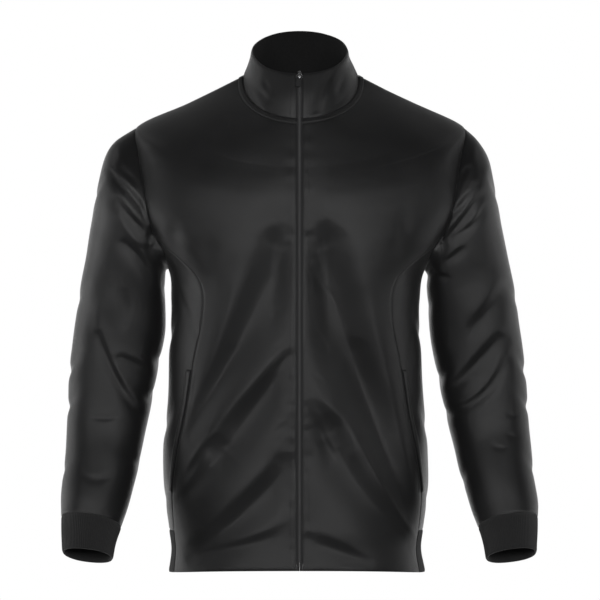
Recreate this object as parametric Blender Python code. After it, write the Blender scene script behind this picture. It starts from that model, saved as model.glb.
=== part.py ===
"""A zip-up track jacket in satin double knit, hollow and filled out as if it were worn.

Metres, +Z up. The front faces -Y and the wearer's left is +X. The origin lies on the centre line
at the height where the neck seam crosses the shoulder seams, which is where a wearer carries it.
Every size below is in millimetres.
"""

import math

import bpy
import numpy as np

MM = 0.001

# Walls and seams
CLOTH = 1.6
RIB_KNIT = 2.8
TAPE = 1.5
SEAM_GAP = 0.3
RIB_RAISED = 0.45

# Heights of the body's landmarks, read at the side of each ring
HEM = -703.0
RIB_SEAM = -643.0
SIDE_SEAM_TOP = -225.0
ARMPIT = -274.0
SHOULDER_POINT = -72.0
NECK = 0.0

# Easing of the rings: how far above and below, from which height, over what rise it grows, and
# over what share of the half width from the side
EASE, EASE_FROM, EASE_RISE, EASE_SHARE = 60.0, -360.0, 80.0, 0.4

# Zip
ZIP_HALF = 5.5
ZIP_RECESS = 0.5
TAPE_END = 2.4

# Slider, in its own frame: across, out from the collar's face, and down from the collar's rim
SLIDER_HALF, SLIDER_FOOT_HALF, CROWN_HALF, FOOT_RISE = 4.2, 3.0, 2.1, 2.2
CROWN_TOP, CROWN_END, SLIDER_SHOULDER, SLIDER_END = -3.4, 1.8, 3.4, 9.0
FRONT_PLATE, BACK_PLATE, CROWN_INSET, CROWN_PROUD = (0.0, 1.4), (-3.6, -2.4), 0.2, 0.3
BRIDGE_HALF, BRIDGE_BAR, BRIDGE_ROOM, BRIDGE_SUNK = 1.1, 1.0, 2.4, 0.5
BRIDGE_TOP, BRIDGE_UPPER_FOOT, BRIDGE_LOWER_FOOT, BRIDGE_END = 1.0, 2.2, 5.6, 6.9

# Pull tab, which turns on its top bar inside the slider's bridge
HINGE_OUT, HINGE_DOWN = 2.6, 4.4
PULL_THICK, PULL_BAR, PULL_LENGTH = 1.5, 1.2, 18.0
PULL_TOP_HALF, PULL_END_HALF = 3.2, 3.6
SLOT_HALF, SLOT_END = 2.0, 4.4
PULL_LEAN, PULL_ROUND, SLOT_ROUND = 7.0, 1.4, 0.5

# Metal ends of the zip at the hem
END_IN, END_WIDTH, END_HEIGHT, END_THICK, END_RISE = 3.5, 1.9, 6.0, 0.9, 3.0
END_GAP = 0.3

# Pocket mouths in the front seams
POCKET_TOP, POCKET_BOTTOM = -412.0, -589.0
WELT_FROM_SEAM, WELT_WIDTH, WELT_THICK, WELT_GAP = 1.5, 8.0, 1.2, 0.8

# How finely each piece is divided
FRONT_COLUMNS = 12
BACK_COLUMNS = 16
SIDE_COLUMNS = 8
RIB_ROWS, BODY_ROWS, ARMHOLE_ROWS, YOKE_ROWS = 2, 12, 8, 4
COLLAR_ROWS = 3
SLEEVE_ROWS = 26
CUFF_ROWS = 2
CUFF_RIBS = 60
HEM_RIBS = 124
RIB_POINTS_PER_INNER = 4


def table(columns, rows):
    """Named columns from a short table, each an array with one value a row."""
    return {name: np.array(values, float) for name, values in zip(columns.split(), zip(*rows))}


# Rings of the body from the hem up. at: height at the side. right, left: half widths. front, back:
# how far the centre front and centre back lie from the origin. side_y: place of the side.
# round: 2 is an ellipse, more is squarer. front_z, back_z: heights at the centre front and back.
# dip: how the height passes from the side to the centres.
BODY = table(
    "at side_z right left front back side_y round front_z back_z dip",
    [
        (-703, -703, 186, 178, 113, 106, 2, 2.5, -690, -703, 1.5),
        (-668, -668, 182, 172, 110, 103, 2, 2.5, -657, -668, 1.5),
        (-643, -643, 185, 175, 113, 107, 2, 2.5, -634, -643, 1.5),
        (-590, -590, 192, 182, 118, 113, 3, 2.5, -584, -590, 1.5),
        (-530, -530, 193, 182, 119, 112, 4, 2.5, -528, -530, 1.5),
        (-460, -460, 187, 176, 118, 104, 4, 2.4, -462, -460, 1.5),
        (-390, -390, 185, 173, 121, 102, 4, 2.4, -396, -388, 1.5),
        (-318, -318, 182, 171, 127, 110, 4, 2.4, -330, -314, 1.5),
        (-274, -274, 186, 178, 129, 116, 4, 2.4, -292, -268, 1.5),
        (-250, -250, 200, 194, 130, 119, 5, 2.4, -272, -244, 1.5),
        (-225, -225, 215, 212, 130, 120, 5, 2.4, -252, -219, 1.5),
        (-170, -170, 239, 239, 128, 121, 6, 2.3, -214, -168, 1.5),
        (-119, -119, 239, 240, 123, 118, 7, 2.2, -184, -124, 1.5),
        (-95, -95, 238, 240, 119, 115, 8, 2.1, -169, -103, 1.5),
        (-72, -72, 232, 234, 115, 110, 8, 2.1, -152, -80, 1.5),
        (-36, -36, 157, 159, 100, 90, 5, 2.0, -112, -30, 1.2),
        (0, 0, 80, 84, 81, 62, -2, 2.0, -66, 10, 0.8),
    ],
)

# The stand collar from the neck seam to its rim, in the same columns
COLLAR = table(
    "at side_z right left front back side_y round front_z back_z dip",
    [
        (0.0, 0, 80, 84, 81, 62, -2, 2.0, -66, 10, 0.8),
        (0.35, 14, 74, 77, 77, 60, -5, 2.0, -44, 32, 0.9),
        (0.7, 26, 70, 71, 71, 56, -9, 2.0, -22, 53, 1.0),
        (1.0, 36, 68, 69, 64, 52, -13, 2.0, -2, 71, 1.0),
    ],
)

# Where the front and the back end at the side, as shares of the half width: the side seams up to
# SIDE_SEAM_TOP, the armhole above it
EDGES = table(
    "at front back",
    [
        (-703, 0.945, 0.87),
        (-643, 0.945, 0.87),
        (-586, 0.935, 0.87),
        (-530, 0.895, 0.85),
        (-488, 0.855, 0.82),
        (-413, 0.80, 0.77),
        (-339, 0.742, 0.73),
        (-300, 0.735, 0.73),
        (-272, 0.77, 0.765),
        (-250, 0.85, 0.84),
        (-225, 0.935, 0.915),
        (-198, 0.915, 0.875),
        (-170, 0.90, 0.852),
        (-142, 0.91, 0.875),
        (-119, 0.933, 0.913),
        (-95, 0.957, 0.952),
        (-80, 0.985, 0.983),
        (-72, 1.0, 1.0),
    ],
)

# Sections of the wearer's right sleeve from the armhole down, X counted away from the body.
# outer, inner: the ends of the section in the front view. front_y, back_y: its ends in depth.
# lean: how much higher its front lies than its middle. closer: what the left sleeve hangs nearer in.
SLEEVE = table(
    "at outer_x outer_z inner_x inner_z front_y back_y round lean closer",
    [
        (0, 232, -72, 188, -274, -62, 78, 2.1, 0, -3),
        (1, 261, -91, 191, -277, -66, 81, 2.3, 0, 7),
        (2, 278, -119, 192, -284, -66, 82, 2.4, 0, 8),
        (3, 288, -160, 192, -297, -64, 80, 2.45, 0, 10),
        (4, 295, -204, 192, -315, -60, 78, 2.45, 0, 9),
        (5, 303, -248, 192, -338, -55, 75, 2.4, 0, 8),
        (6, 311, -292, 193, -364, -51, 73, 2.4, 1, 7),
        (7, 318, -336, 197, -392, -47, 70, 2.4, 2, 7),
        (8, 324, -380, 203, -422, -44, 66, 2.4, 4, 7),
        (9, 328, -428, 210, -460, -46, 56, 2.4, 8, 6),
        (10, 329, -474, 217, -496, -52, 43, 2.35, 12, 5),
        (11, 330, -516, 223, -526, -62, 28, 2.3, 15, 4),
        (12, 331, -556, 229, -560, -78, 8, 2.3, 17, 3),
        (13, 333, -593, 237, -596, -95, -15, 2.2, 17, 1),
        (14, 331, -620, 248, -632, -109, -42, 2.2, 15, 0),
    ],
)
CUFF = table(
    "at outer_x outer_z inner_x inner_z front_y back_y round lean closer",
    [
        (0, 331, -620, 248, -632, -109, -42, 2.2, 15, 0),
        (1, 329, -644, 254, -654, -118, -62, 2.2, 14, 0),
        (2, 327, -666, 257, -674, -126, -72, 2.2, 13, 0),
    ],
)

# The largest folds, each along a curve through three places seen from the front or the back.
# x, z: the places, across and high. width: from the bottom of the trough to where it fades.
# depth: how far the cloth sinks there.
FOLD_COLUMNS = "x0 z0 x1 z1 x2 z2 width depth"
FRONT_FOLDS = table(
    FOLD_COLUMNS,
    [
        (-32, -230, -103, -345, -158, -499, 24, 6.0),
        (-19, -395, -82, -460, -161, -559, 18, 5.0),
        (-24, -548, -82, -600, -161, -662, 20, 5.5),
        (25, -236, 100, -365, 157, -597, 26, 6.5),
        (22, -449, 92, -545, 157, -641, 20, 6.5),
        (17, -625, 50, -649, 83, -674, 16, 4.0),
    ],
)
BACK_FOLDS = table(
    FOLD_COLUMNS,
    [
        (-30, -250, -70, -380, -150, -480, 26, 5.0),
        (34, -270, 84, -400, 155, -520, 24, 5.5),
        (-120, -600, -50, -560, 40, -575, 22, 4.5),
        (120, -620, 70, -590, 20, -630, 20, 3.5),
        (-60, -440, 0, -425, 70, -450, 20, 4.0),
    ],
)
SLEEVE_FRONT_FOLDS = table(
    FOLD_COLUMNS,
    [
        (-265, -137, -228, -179, -203, -214, 15, 3.5),
        (-243, -239, -222, -261, -208, -286, 14, 3.0),
        (-282, -367, -250, -434, -220, -480, 16, 4.5),
        (251, -173, 229, -202, 197, -241, 16, 4.0),
        (279, -374, 233, -423, 203, -453, 18, 5.0),
        (289, -402, 251, -455, 210, -474, 14, 3.5),
    ],
)
SLEEVE_BACK_FOLDS = table(
    FOLD_COLUMNS,
    [
        (-290, -385, -252, -424, -212, -432, 16, 4.0),
        (-272, -180, -232, -230, -204, -262, 16, 3.5),
        (286, -372, 246, -424, 212, -440, 16, 4.5),
        (262, -166, 230, -214, 200, -250, 16, 3.5),
    ],
)
# A trough's half width as a share of its width, and how much of its length its ends take to fade
TROUGH_SHARE, FOLD_END, FOLD_FADE = 0.6, 0.08, 0.7
# Folds die out over this distance from the zip, and over this many stations from a sleeve's seams
CALM_BY_ZIP, CALM_BY_SEAM = 14.0, 1.2
# How far down the sleeve its first direction is read, and over how many stations it leaves its seam
SLEEVE_START, SLEEVE_EASE = 0.35, 3.0


def curve(tab, column, at):
    """A column read anywhere between the rows, on a smooth curve through them."""
    knots, values = tab["at"], tab[column]
    slopes = np.gradient(values, knots)
    at = np.clip(at, knots[0], knots[-1])
    i = np.clip(np.searchsorted(knots, at, side="right") - 1, 0, len(knots) - 2)
    span = knots[i + 1] - knots[i]
    t = (at - knots[i]) / span
    low = values[i] * (1 + 2 * t) * (1 - t) ** 2 + slopes[i] * span * t * (1 - t) ** 2
    high = values[i + 1] * t**2 * (3 - 2 * t) + slopes[i + 1] * span * t**2 * (t - 1)
    return low + high


def unit(vectors):
    """Vectors of length one."""
    return vectors / np.maximum(np.linalg.norm(vectors, axis=-1, keepdims=True), 1e-9)


def plain_ring(tab, theta, at):
    """Points of a table's rings as they stand."""
    sine, cosine = np.sin(np.radians(theta)), np.cos(np.radians(theta))
    side_y = curve(tab, "side_y", at)
    wide = np.where(sine >= 0, curve(tab, "left", at), curve(tab, "right", at))
    deep = np.where(cosine >= 0, curve(tab, "front", at) + side_y, curve(tab, "back", at) - side_y)
    end_z = np.where(cosine >= 0, curve(tab, "front_z", at), curve(tab, "back_z", at))
    power = curve(tab, "round", at)
    reach = (np.abs(sine / wide) ** power + np.abs(cosine / deep) ** power) ** (-1 / power)
    centre_share = np.abs(reach * cosine / deep) ** curve(tab, "dip", at)
    side_z = curve(tab, "side_z", at)
    z = side_z + (end_z - side_z) * centre_share
    return np.stack([reach * sine, side_y - reach * cosine, z], axis=-1)


def ring_points(tab, theta, at):
    """Points of a body or collar surface. theta turns in degrees from the centre front by +X.

    The rings turn a corner at the shoulder point. Away from the sides of the body that corner is
    eased by a weighted mean of the rings above and below, over up to EASE to either side.
    """
    theta, at = np.broadcast_arrays(np.asarray(theta, float), np.asarray(at, float))
    exact = plain_ring(tab, theta, at)
    if tab is COLLAR:
        return exact
    wide = np.where(exact[..., 0] >= 0, curve(tab, "left", at), curve(tab, "right", at))
    inward = np.clip((1 - np.abs(exact[..., 0]) / wide) / EASE_SHARE, 0, 1)
    reach = EASE * np.clip((at - EASE_FROM) / EASE_RISE, 0, 1) * inward
    reach = np.minimum(reach, NECK - at)
    return sum(
        weight * plain_ring(tab, theta, at + place * reach)
        for place, weight in zip((-1, -0.5, 0, 0.5, 1), (1 / 16, 1 / 4, 3 / 8, 1 / 4, 1 / 16))
    )


def ring_normals(tab, theta, at):
    """Outward normals of the same surface."""
    turn, step = 0.4, 0.004 * (tab["at"][-1] - tab["at"][0])
    low, high = np.maximum(at - step, tab["at"][0]), np.minimum(at + step, tab["at"][-1])
    around = ring_points(tab, theta + turn, at) - ring_points(tab, theta - turn, at)
    up = ring_points(tab, theta, high) - ring_points(tab, theta, low)
    return unit(np.cross(around, up))


def angle_at(tab, share, at, side, back=False):
    """The angle at which the surface lies at this share of its half width."""
    wide = curve(tab, "left" if side > 0 else "right", at)
    side_y = curve(tab, "side_y", at)
    deep = curve(tab, "back", at) - side_y if back else curve(tab, "front", at) + side_y
    power = curve(tab, "round", at)
    share = np.clip(share, 0, 1)
    centre = np.maximum(1 - share**power, 0) ** (1 / power)
    angle = np.degrees(np.arctan2(share * wide, centre * deep))
    angle = 180 - angle if back else angle
    return angle if side > 0 else 360 - angle


def edge_angle(at, side, back=False):
    """Where the front or the back ends at this height, at its side seam, armhole or shoulder seam."""
    at = np.asarray(at, float)
    share = curve(EDGES, "back" if back else "front", np.minimum(at, SHOULDER_POINT))
    return angle_at(BODY, np.where(at >= SHOULDER_POINT - 1e-6, 1.0, share), at, side, back)


def zip_angle(tab, at, side):
    """Where the cloth ends beside the zip."""
    across = ZIP_HALF + SEAM_GAP
    return angle_at(tab, across / curve(tab, "left" if side > 0 else "right", at), at, side)


def fold_depth(folds, points, facing):
    """How far the folds of one view push each point inward. facing: how far it looks that way."""
    total = np.zeros(points.shape[:-1])
    t = np.linspace(0, 1, 17)
    ends = (2 * t - 1) * (t - 1), 4 * t * (1 - t), t * (2 * t - 1)
    for i in range(len(folds["width"])):
        x = sum(share * folds[name][i] for share, name in zip(ends, ("x0", "x1", "x2")))
        z = sum(share * folds[name][i] for share, name in zip(ends, ("z0", "z1", "z2")))
        apart = np.hypot(points[..., 0, None] - x, points[..., 2, None] - z)
        nearest = t[apart.argmin(axis=-1)]
        fade = np.sin(np.pi * (FOLD_END + (1 - 2 * FOLD_END) * nearest)) ** FOLD_FADE
        trough = np.exp(-((apart.min(axis=-1) / (TROUGH_SHARE * folds["width"][i])) ** 2))
        total += folds["depth"][i] * trough * fade
    return total * np.clip(facing, 0, 1)


def levels(start, end, rows):
    """Heights of evenly spaced rows, both ends included."""
    return np.linspace(start, end, rows + 1)


BODY_LEVELS = levels(RIB_SEAM, SIDE_SEAM_TOP, BODY_ROWS)
# Rows close up towards the shoulder point, where the armhole turns over the shoulder
ARMHOLE_SPREAD = np.linspace(1, 0, ARMHOLE_ROWS + 1) ** 1.35
ARMHOLE_LEVELS = SHOULDER_POINT - (SHOULDER_POINT - SIDE_SEAM_TOP) * ARMHOLE_SPREAD
YOKE_LEVELS = levels(SHOULDER_POINT, NECK, YOKE_ROWS)
UPPER_LEVELS = np.concatenate([BODY_LEVELS, ARMHOLE_LEVELS[1:], YOKE_LEVELS[1:]])
FRONT_LEVELS = np.concatenate([levels(HEM, RIB_SEAM, RIB_ROWS), UPPER_LEVELS[1:]])
ARMHOLE_FIRST = len(BODY_LEVELS) - 1
ARMHOLE_LAST = ARMHOLE_FIRST + ARMHOLE_ROWS


def side_grid(side):
    """Angles and heights of a side panel, whose top edge dips to the armpit."""
    share = np.linspace(0, 1, SIDE_COLUMNS + 1)
    top = ARMPIT + (SIDE_SEAM_TOP - ARMPIT) * np.abs(2 * share - 1) ** 2.2
    run = (BODY_LEVELS - RIB_SEAM) / (SIDE_SEAM_TOP - RIB_SEAM)
    height = RIB_SEAM + run[:, None] * (top - RIB_SEAM)
    front, back = edge_angle(height, side), edge_angle(height, side, back=True)
    spread = 0.5 + 0.5 * np.sign(share - 0.5) * np.abs(2 * share - 1) ** 1.5
    return front + (back - front) * spread, height


def armhole(side):
    """The armhole seam: angles and heights from the shoulder point down the front and up the back."""
    angle, height = side_grid(side)
    down, up = ARMHOLE_LEVELS[::-1], ARMHOLE_LEVELS
    angles = [edge_angle(down, side), angle[-1, 1:-1], edge_angle(up[:-1], side, back=True)]
    return np.concatenate(angles), np.concatenate([down, height[-1, 1:-1], up[:-1]])


def sleeve_frame(tab, at, side):
    """Middle, long half axis and depth half axis of the sleeve's sections."""
    closer = curve(tab, "closer", at) if side > 0 else 0 * at
    outer = [side * (curve(tab, "outer_x", at) - closer), 0 * at, curve(tab, "outer_z", at)]
    inner = [side * (curve(tab, "inner_x", at) - closer), 0 * at, curve(tab, "inner_z", at)]
    outer, inner = np.stack(outer, axis=-1), np.stack(inner, axis=-1)
    front, back = curve(tab, "front_y", at), curve(tab, "back_y", at)
    middle = (outer + inner) / 2 + np.stack([0 * at, (front + back) / 2, 0 * at], axis=-1)
    depth = np.stack([0 * at, (front - back) / 2, curve(tab, "lean", at)], axis=-1)
    return middle, (outer - inner) / 2, depth


def sleeve_section(tab, at, turn, side):
    """Points of the sleeve at angles round its sections: 0 is outermost, 90 foremost."""
    at, turn = np.broadcast_arrays(np.asarray(at, float), np.asarray(turn, float))
    middle, length, depth = sleeve_frame(tab, at, side)
    power = (2 / curve(tab, "round", at))[..., None]
    cosine, sine = np.cos(np.radians(turn))[..., None], np.sin(np.radians(turn))[..., None]
    cosine = np.sign(cosine) * np.abs(cosine) ** power
    sine = np.sign(sine) * np.abs(sine) ** power
    return middle + length * cosine + depth * sine


def armhole_turns(side):
    """Angle round the sleeve at which each point of the armhole seam lies."""
    points = ring_points(BODY, *armhole(side))
    middle, length, depth = sleeve_frame(SLEEVE, np.zeros(len(points)), side)
    offset = points - middle
    cosine = (offset * length).sum(axis=-1) / (length**2).sum(axis=-1)
    sine = (offset * depth).sum(axis=-1) / (depth**2).sum(axis=-1)
    return np.degrees(np.arctan2(sine, cosine)) % 360


def sleeve_points(at, side):
    """The sleeve's smooth outer surface, a row of points for each place along it."""
    seam = ring_points(BODY, *armhole(side))
    turns = armhole_turns(side)
    at = np.asarray(at, float)[:, None]
    rest = seam - sleeve_section(SLEEVE, 0.0, turns, side)
    fade = np.clip(1 - at / SLEEVE_EASE, 0, 1)[..., None] ** 2
    return sleeve_section(SLEEVE, at, turns, side) + rest * fade


def tube_normals(points, side):
    """Outward normals of rows of points round a tube."""
    around = np.roll(points, -1, axis=1) - np.roll(points, 1, axis=1)
    down = np.gradient(points, axis=0)
    return unit(np.cross(around, down)) * side


def armhole_normals(side):
    """Wall directions along the armhole seam, shared by the panels and the sleeve."""
    angle, height = armhole(side)
    seam = ring_points(BODY, angle, height)
    body = ring_normals(BODY, angle, height)
    along = np.roll(seam, -1, axis=0) - np.roll(seam, 1, axis=0)
    toward = unit(np.cross(body, along))
    onward = sleeve_points([0.0, SLEEVE_START], side)
    onward = unit(onward[1] - onward[0])
    toward *= np.sign((toward * [side, 0, -0.2]).sum(axis=-1, keepdims=True))
    normals = unit(np.cross(along, toward + onward))
    return normals * np.sign((normals * body).sum(axis=-1, keepdims=True))


def neck_normals(theta):
    """Wall directions along the neck seam, shared by the panels, the collar and the zip."""
    seam = ring_points(BODY, theta, NECK)
    body = ring_normals(BODY, theta, NECK)
    along = ring_points(BODY, theta + 0.5, NECK) - ring_points(BODY, theta - 0.5, NECK)
    toward = unit(np.cross(along, body))
    toward *= np.sign(toward[..., 2:])
    onward = unit(ring_points(COLLAR, theta, 0.2) - seam)
    normals = unit(np.cross(along, toward + onward))
    return normals * np.sign((normals * body).sum(axis=-1, keepdims=True))


def pulled_in(points, sides):
    """Moves the named borders of a grid in by half a seam gap."""
    points = points.copy()
    half = SEAM_GAP / 2
    if "first_row" in sides:
        points[0] += half * unit(points[1] - points[0])
    if "last_row" in sides:
        points[-1] += half * unit(points[-2] - points[-1])
    if "first_column" in sides:
        points[:, 0] += half * unit(points[:, 1] - points[:, 0])
    if "last_column" in sides:
        points[:, -1] += half * unit(points[:, -2] - points[:, -1])
    return points


def wall_mesh(name, outer, inner, closed, step=1):
    """A closed wall between two grids of points. The inner grid may have every step-th column."""
    rows, columns = outer.shape[:2]
    inner_columns = inner.shape[1]
    vertices = np.concatenate([outer.reshape(-1, 3), inner.reshape(-1, 3)]) * MM
    first_inner = rows * columns

    def out(r, c):
        return r * columns + c % columns

    def into(r, c):
        return first_inner + r * inner_columns + c % inner_columns

    faces = []
    for r in range(rows - 1):
        for c in range(columns if closed else columns - 1):
            faces.append((out(r, c), out(r, c + 1), out(r + 1, c + 1), out(r + 1, c)))
        for c in range(inner_columns if closed else inner_columns - 1):
            faces.append((into(r, c), into(r + 1, c), into(r + 1, c + 1), into(r, c + 1)))
        if not closed:
            faces.append((out(r, 0), out(r + 1, 0), into(r + 1, 0), into(r, 0)))
            faces.append((out(r, columns - 1), into(r, inner_columns - 1),
                          into(r + 1, inner_columns - 1), out(r + 1, columns - 1)))
    for c in range(inner_columns if closed else inner_columns - 1):
        for r, last in ((0, False), (rows - 1, True)):
            corner = [(out(r, c * step + k), out(r, c * step + k + 1)) for k in range(step)]
            middle = (step + 1) // 2
            for k, (a, b) in enumerate(corner):
                hub = into(r, c) if k < middle else into(r, c + 1)
                faces.append((a, b, hub) if last else (b, a, hub))
            hub = out(r, c * step + middle)
            last_face = (hub, into(r, c + 1), into(r, c))
            faces.append(last_face if last else last_face[::-1])
    mesh = bpy.data.meshes.new(name)
    mesh.from_pydata([tuple(v) for v in vertices], [], faces)
    mesh.update()
    return mesh


def outward(mesh):
    """Turns a mesh whose faces point inwards."""
    mesh.calc_loop_triangles()
    points = np.array([v.co[:] for v in mesh.vertices])
    corners = points[np.array([t.vertices[:] for t in mesh.loop_triangles])]
    if np.linalg.det(corners).sum() < 0:
        mesh.flip_normals()


def cloth_piece(name, outer, normals, thickness, material, closed=False, raised=None):
    """One sewn piece: a wall of even thickness, its outer points raised where it is ribbed."""
    if raised is None:
        mesh = wall_mesh(name, outer, outer - normals * thickness, closed)
    else:
        step = RIB_POINTS_PER_INNER
        inner = (outer - normals * thickness)[:, ::step]
        mesh = wall_mesh(name, outer + normals * raised[..., None], inner, closed, step)
    outward(mesh)
    mesh.materials.append(material)
    piece = bpy.data.objects.new(name, mesh)
    bpy.context.scene.collection.objects.link(piece)
    return piece


def finish(name, colour, roughness, metallic=0.0):
    """A plain material with the piece's colour, roughness and metal."""
    material = bpy.data.materials.new(name)
    material.use_nodes = True
    shader = material.node_tree.nodes["Principled BSDF"]
    shader.inputs["Base Color"].default_value = (*colour, 1.0)
    shader.inputs["Roughness"].default_value = roughness
    shader.inputs["Metallic"].default_value = metallic
    return material


def body_surface(theta, height):
    """The body's cloth surface with its folds, and its wall directions."""
    points, normals = ring_points(BODY, theta, height), ring_normals(BODY, theta, height)
    calm = np.clip((np.abs(points[..., 0]) - ZIP_HALF - SEAM_GAP) / CALM_BY_ZIP, 0, 1)
    depth = fold_depth(FRONT_FOLDS, points, -normals[..., 1])
    depth = (depth + fold_depth(BACK_FOLDS, points, normals[..., 1])) * calm
    return points - normals * depth[..., None], normals


def front(side, name, material):
    """A front from the zip to the side seam, armhole and shoulder seam."""
    height = FRONT_LEVELS[:, None]
    start, end = zip_angle(BODY, height, side), edge_angle(height, side)
    theta = start + (end - start) * np.linspace(0, 1, FRONT_COLUMNS + 1)
    points, normals = body_surface(theta, height + 0 * theta)
    first = RIB_ROWS + ARMHOLE_FIRST
    seam = armhole_normals(side)[: ARMHOLE_ROWS + 1][::-1]
    normals[first : first + ARMHOLE_ROWS + 1, -1] = seam
    normals[-1] = neck_normals(theta[-1])
    points = pulled_in(points, ("last_row", "last_column"))
    return cloth_piece(name, points, normals, CLOTH, material)


def side_panel(side, name, material):
    """A side panel from the hem rib to the underarm."""
    theta, height = side_grid(side)
    points, normals = body_surface(theta, height)
    under = slice(ARMHOLE_ROWS, ARMHOLE_ROWS + SIDE_COLUMNS + 1)
    normals[-1] = armhole_normals(side)[under]
    points = pulled_in(points, ("first_row", "last_row", "first_column", "last_column"))
    return cloth_piece(name, points, normals, CLOTH, material)


def back(name, material):
    """The back, in one piece from side seam to side seam."""
    height = UPPER_LEVELS[:, None]
    start, end = edge_angle(height, 1, back=True), edge_angle(height, -1, back=True)
    theta = start + (end - start) * np.linspace(0, 1, BACK_COLUMNS + 1)
    points, normals = body_surface(theta, height + 0 * theta)
    rows = slice(ARMHOLE_FIRST, ARMHOLE_LAST)
    for side, column in ((1, 0), (-1, -1)):
        seam = armhole_normals(side)
        normals[rows, column] = seam[-ARMHOLE_ROWS:]
        normals[ARMHOLE_LAST, column] = seam[0]
    normals[-1] = neck_normals(theta[-1])
    points = pulled_in(points, ("first_row", "last_row", "first_column", "last_column"))
    return cloth_piece(name, points, normals, CLOTH, material)


def hem_rib(name, material):
    """The rib band over the sides and back of the hem."""
    height = levels(HEM, RIB_SEAM, RIB_ROWS)[:, None]
    start, end = edge_angle(height, 1), edge_angle(height, -1)
    columns = 2 * HEM_RIBS
    theta = start + (end - start) * np.linspace(0, 1, columns + 1)
    points, normals = ring_points(BODY, theta, height), ring_normals(BODY, theta, height)
    points = pulled_in(points, ("last_row", "first_column", "last_column"))
    raised = RIB_RAISED * (np.arange(columns + 1) % 2) * np.ones_like(theta)
    return cloth_piece(name, points, normals, RIB_KNIT, material, raised=raised)


def collar(name, material):
    """The stand collar, open at the zip."""
    parts = []
    for side in (1, -1):
        start, end = zip_angle(BODY, NECK, side), edge_angle(NECK, side)
        parts.append(start + (end - start) * np.linspace(0, 1, FRONT_COLUMNS + 1))
    rear = np.linspace(edge_angle(NECK, 1), edge_angle(NECK, -1), BACK_COLUMNS + 1)
    seam = np.concatenate([parts[0], rear[1:-1], parts[1][::-1]])
    rise = np.linspace(0, 1, COLLAR_ROWS + 1)[:, None]
    left, right = zip_angle(COLLAR, rise, 1), zip_angle(COLLAR, rise, -1)
    theta = left + (right - left) * (seam - seam[0]) / (seam[-1] - seam[0])
    points, normals = ring_points(COLLAR, theta, rise), ring_normals(COLLAR, theta, rise)
    normals[0] = neck_normals(seam)
    points = pulled_in(points, ("first_row",))
    return cloth_piece(name, points, normals, CLOTH, material)


def sleeve(side, name, material):
    """A set-in sleeve from the armhole to the cuff seam."""
    along = levels(0, SLEEVE["at"][-1], SLEEVE_ROWS)
    points = sleeve_points(along, side)
    normals = tube_normals(points, side)
    from_seam = np.minimum(along, SLEEVE["at"][-1] - along)[:, None]
    depth = fold_depth(SLEEVE_FRONT_FOLDS, points, -normals[..., 1])
    depth += fold_depth(SLEEVE_BACK_FOLDS, points, normals[..., 1])
    depth *= np.clip(from_seam / CALM_BY_SEAM, 0, 1)
    points = points - normals * depth[..., None]
    normals[0] = armhole_normals(side)
    normals[-1] = in_plane_normals(points[-1])
    points = pulled_in(points, ("first_row", "last_row"))
    return cloth_piece(name, points, normals, CLOTH, material, closed=True)


def in_plane_normals(loop):
    """Outward directions of a flat loop of points, within its plane."""
    middle = loop.mean(axis=0)
    around = np.roll(loop, -1, axis=0) - np.roll(loop, 1, axis=0)
    axis = unit(np.cross(around, loop - middle).sum(axis=0))
    normals = unit(np.cross(around, axis))
    return normals * np.sign((normals * (loop - middle)).sum(axis=-1, keepdims=True))


def cuff(side, name, material):
    """A rib cuff on the sleeve's end."""
    columns = 2 * CUFF_RIBS
    turns = np.linspace(0, 360, columns, endpoint=False)
    rows = np.linspace(0, 2, CUFF_ROWS + 1)[:, None]
    points = sleeve_section(CUFF, rows, turns, side)
    normals = np.stack([in_plane_normals(row) for row in points])
    points = points - normals * RIB_RAISED
    points[0] += SEAM_GAP * unit(points[1] - points[0])
    raised = RIB_RAISED * (np.arange(columns) % 2) * np.ones_like(points[..., 0])
    return cloth_piece(name, points, normals, RIB_KNIT, material, closed=True, raised=raised)


def zip_tape(side, name, material):
    """One tape of the zip with its coil, from the hem to the collar's rim."""
    across = np.array([SEAM_GAP / 2, ZIP_HALF])
    rows = []
    for tab, heights in ((BODY, FRONT_LEVELS), (COLLAR, np.linspace(0, 1, COLLAR_ROWS + 1)[1:])):
        for height in heights:
            share = across / curve(tab, "left" if side > 0 else "right", height)
            theta = angle_at(tab, share, height, side)
            points, normals = ring_points(tab, theta, height), ring_normals(tab, theta, height)
            if tab is BODY and height == NECK:
                normals = neck_normals(theta)
            rows.append((points, normals))
    points = np.array([row[0] for row in rows])
    normals = np.array([row[1] for row in rows])
    points[-1] += TAPE_END * unit(points[-2] - points[-1])
    points = points - normals * ZIP_RECESS
    return cloth_piece(name, points, normals, TAPE, material)


def on_grid(grid, row, column):
    """A grid of values read between its rows and columns."""
    r = np.clip(np.floor(row).astype(int), 0, grid.shape[0] - 2)
    c = np.clip(np.floor(column).astype(int), 0, grid.shape[1] - 2)
    u, v = (row - r)[..., None], (column - c)[..., None]
    low = grid[r, c] * (1 - v) + grid[r, c + 1] * v
    high = grid[r + 1, c] * (1 - v) + grid[r + 1, c + 1] * v
    return low * (1 - u) + high * u


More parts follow.
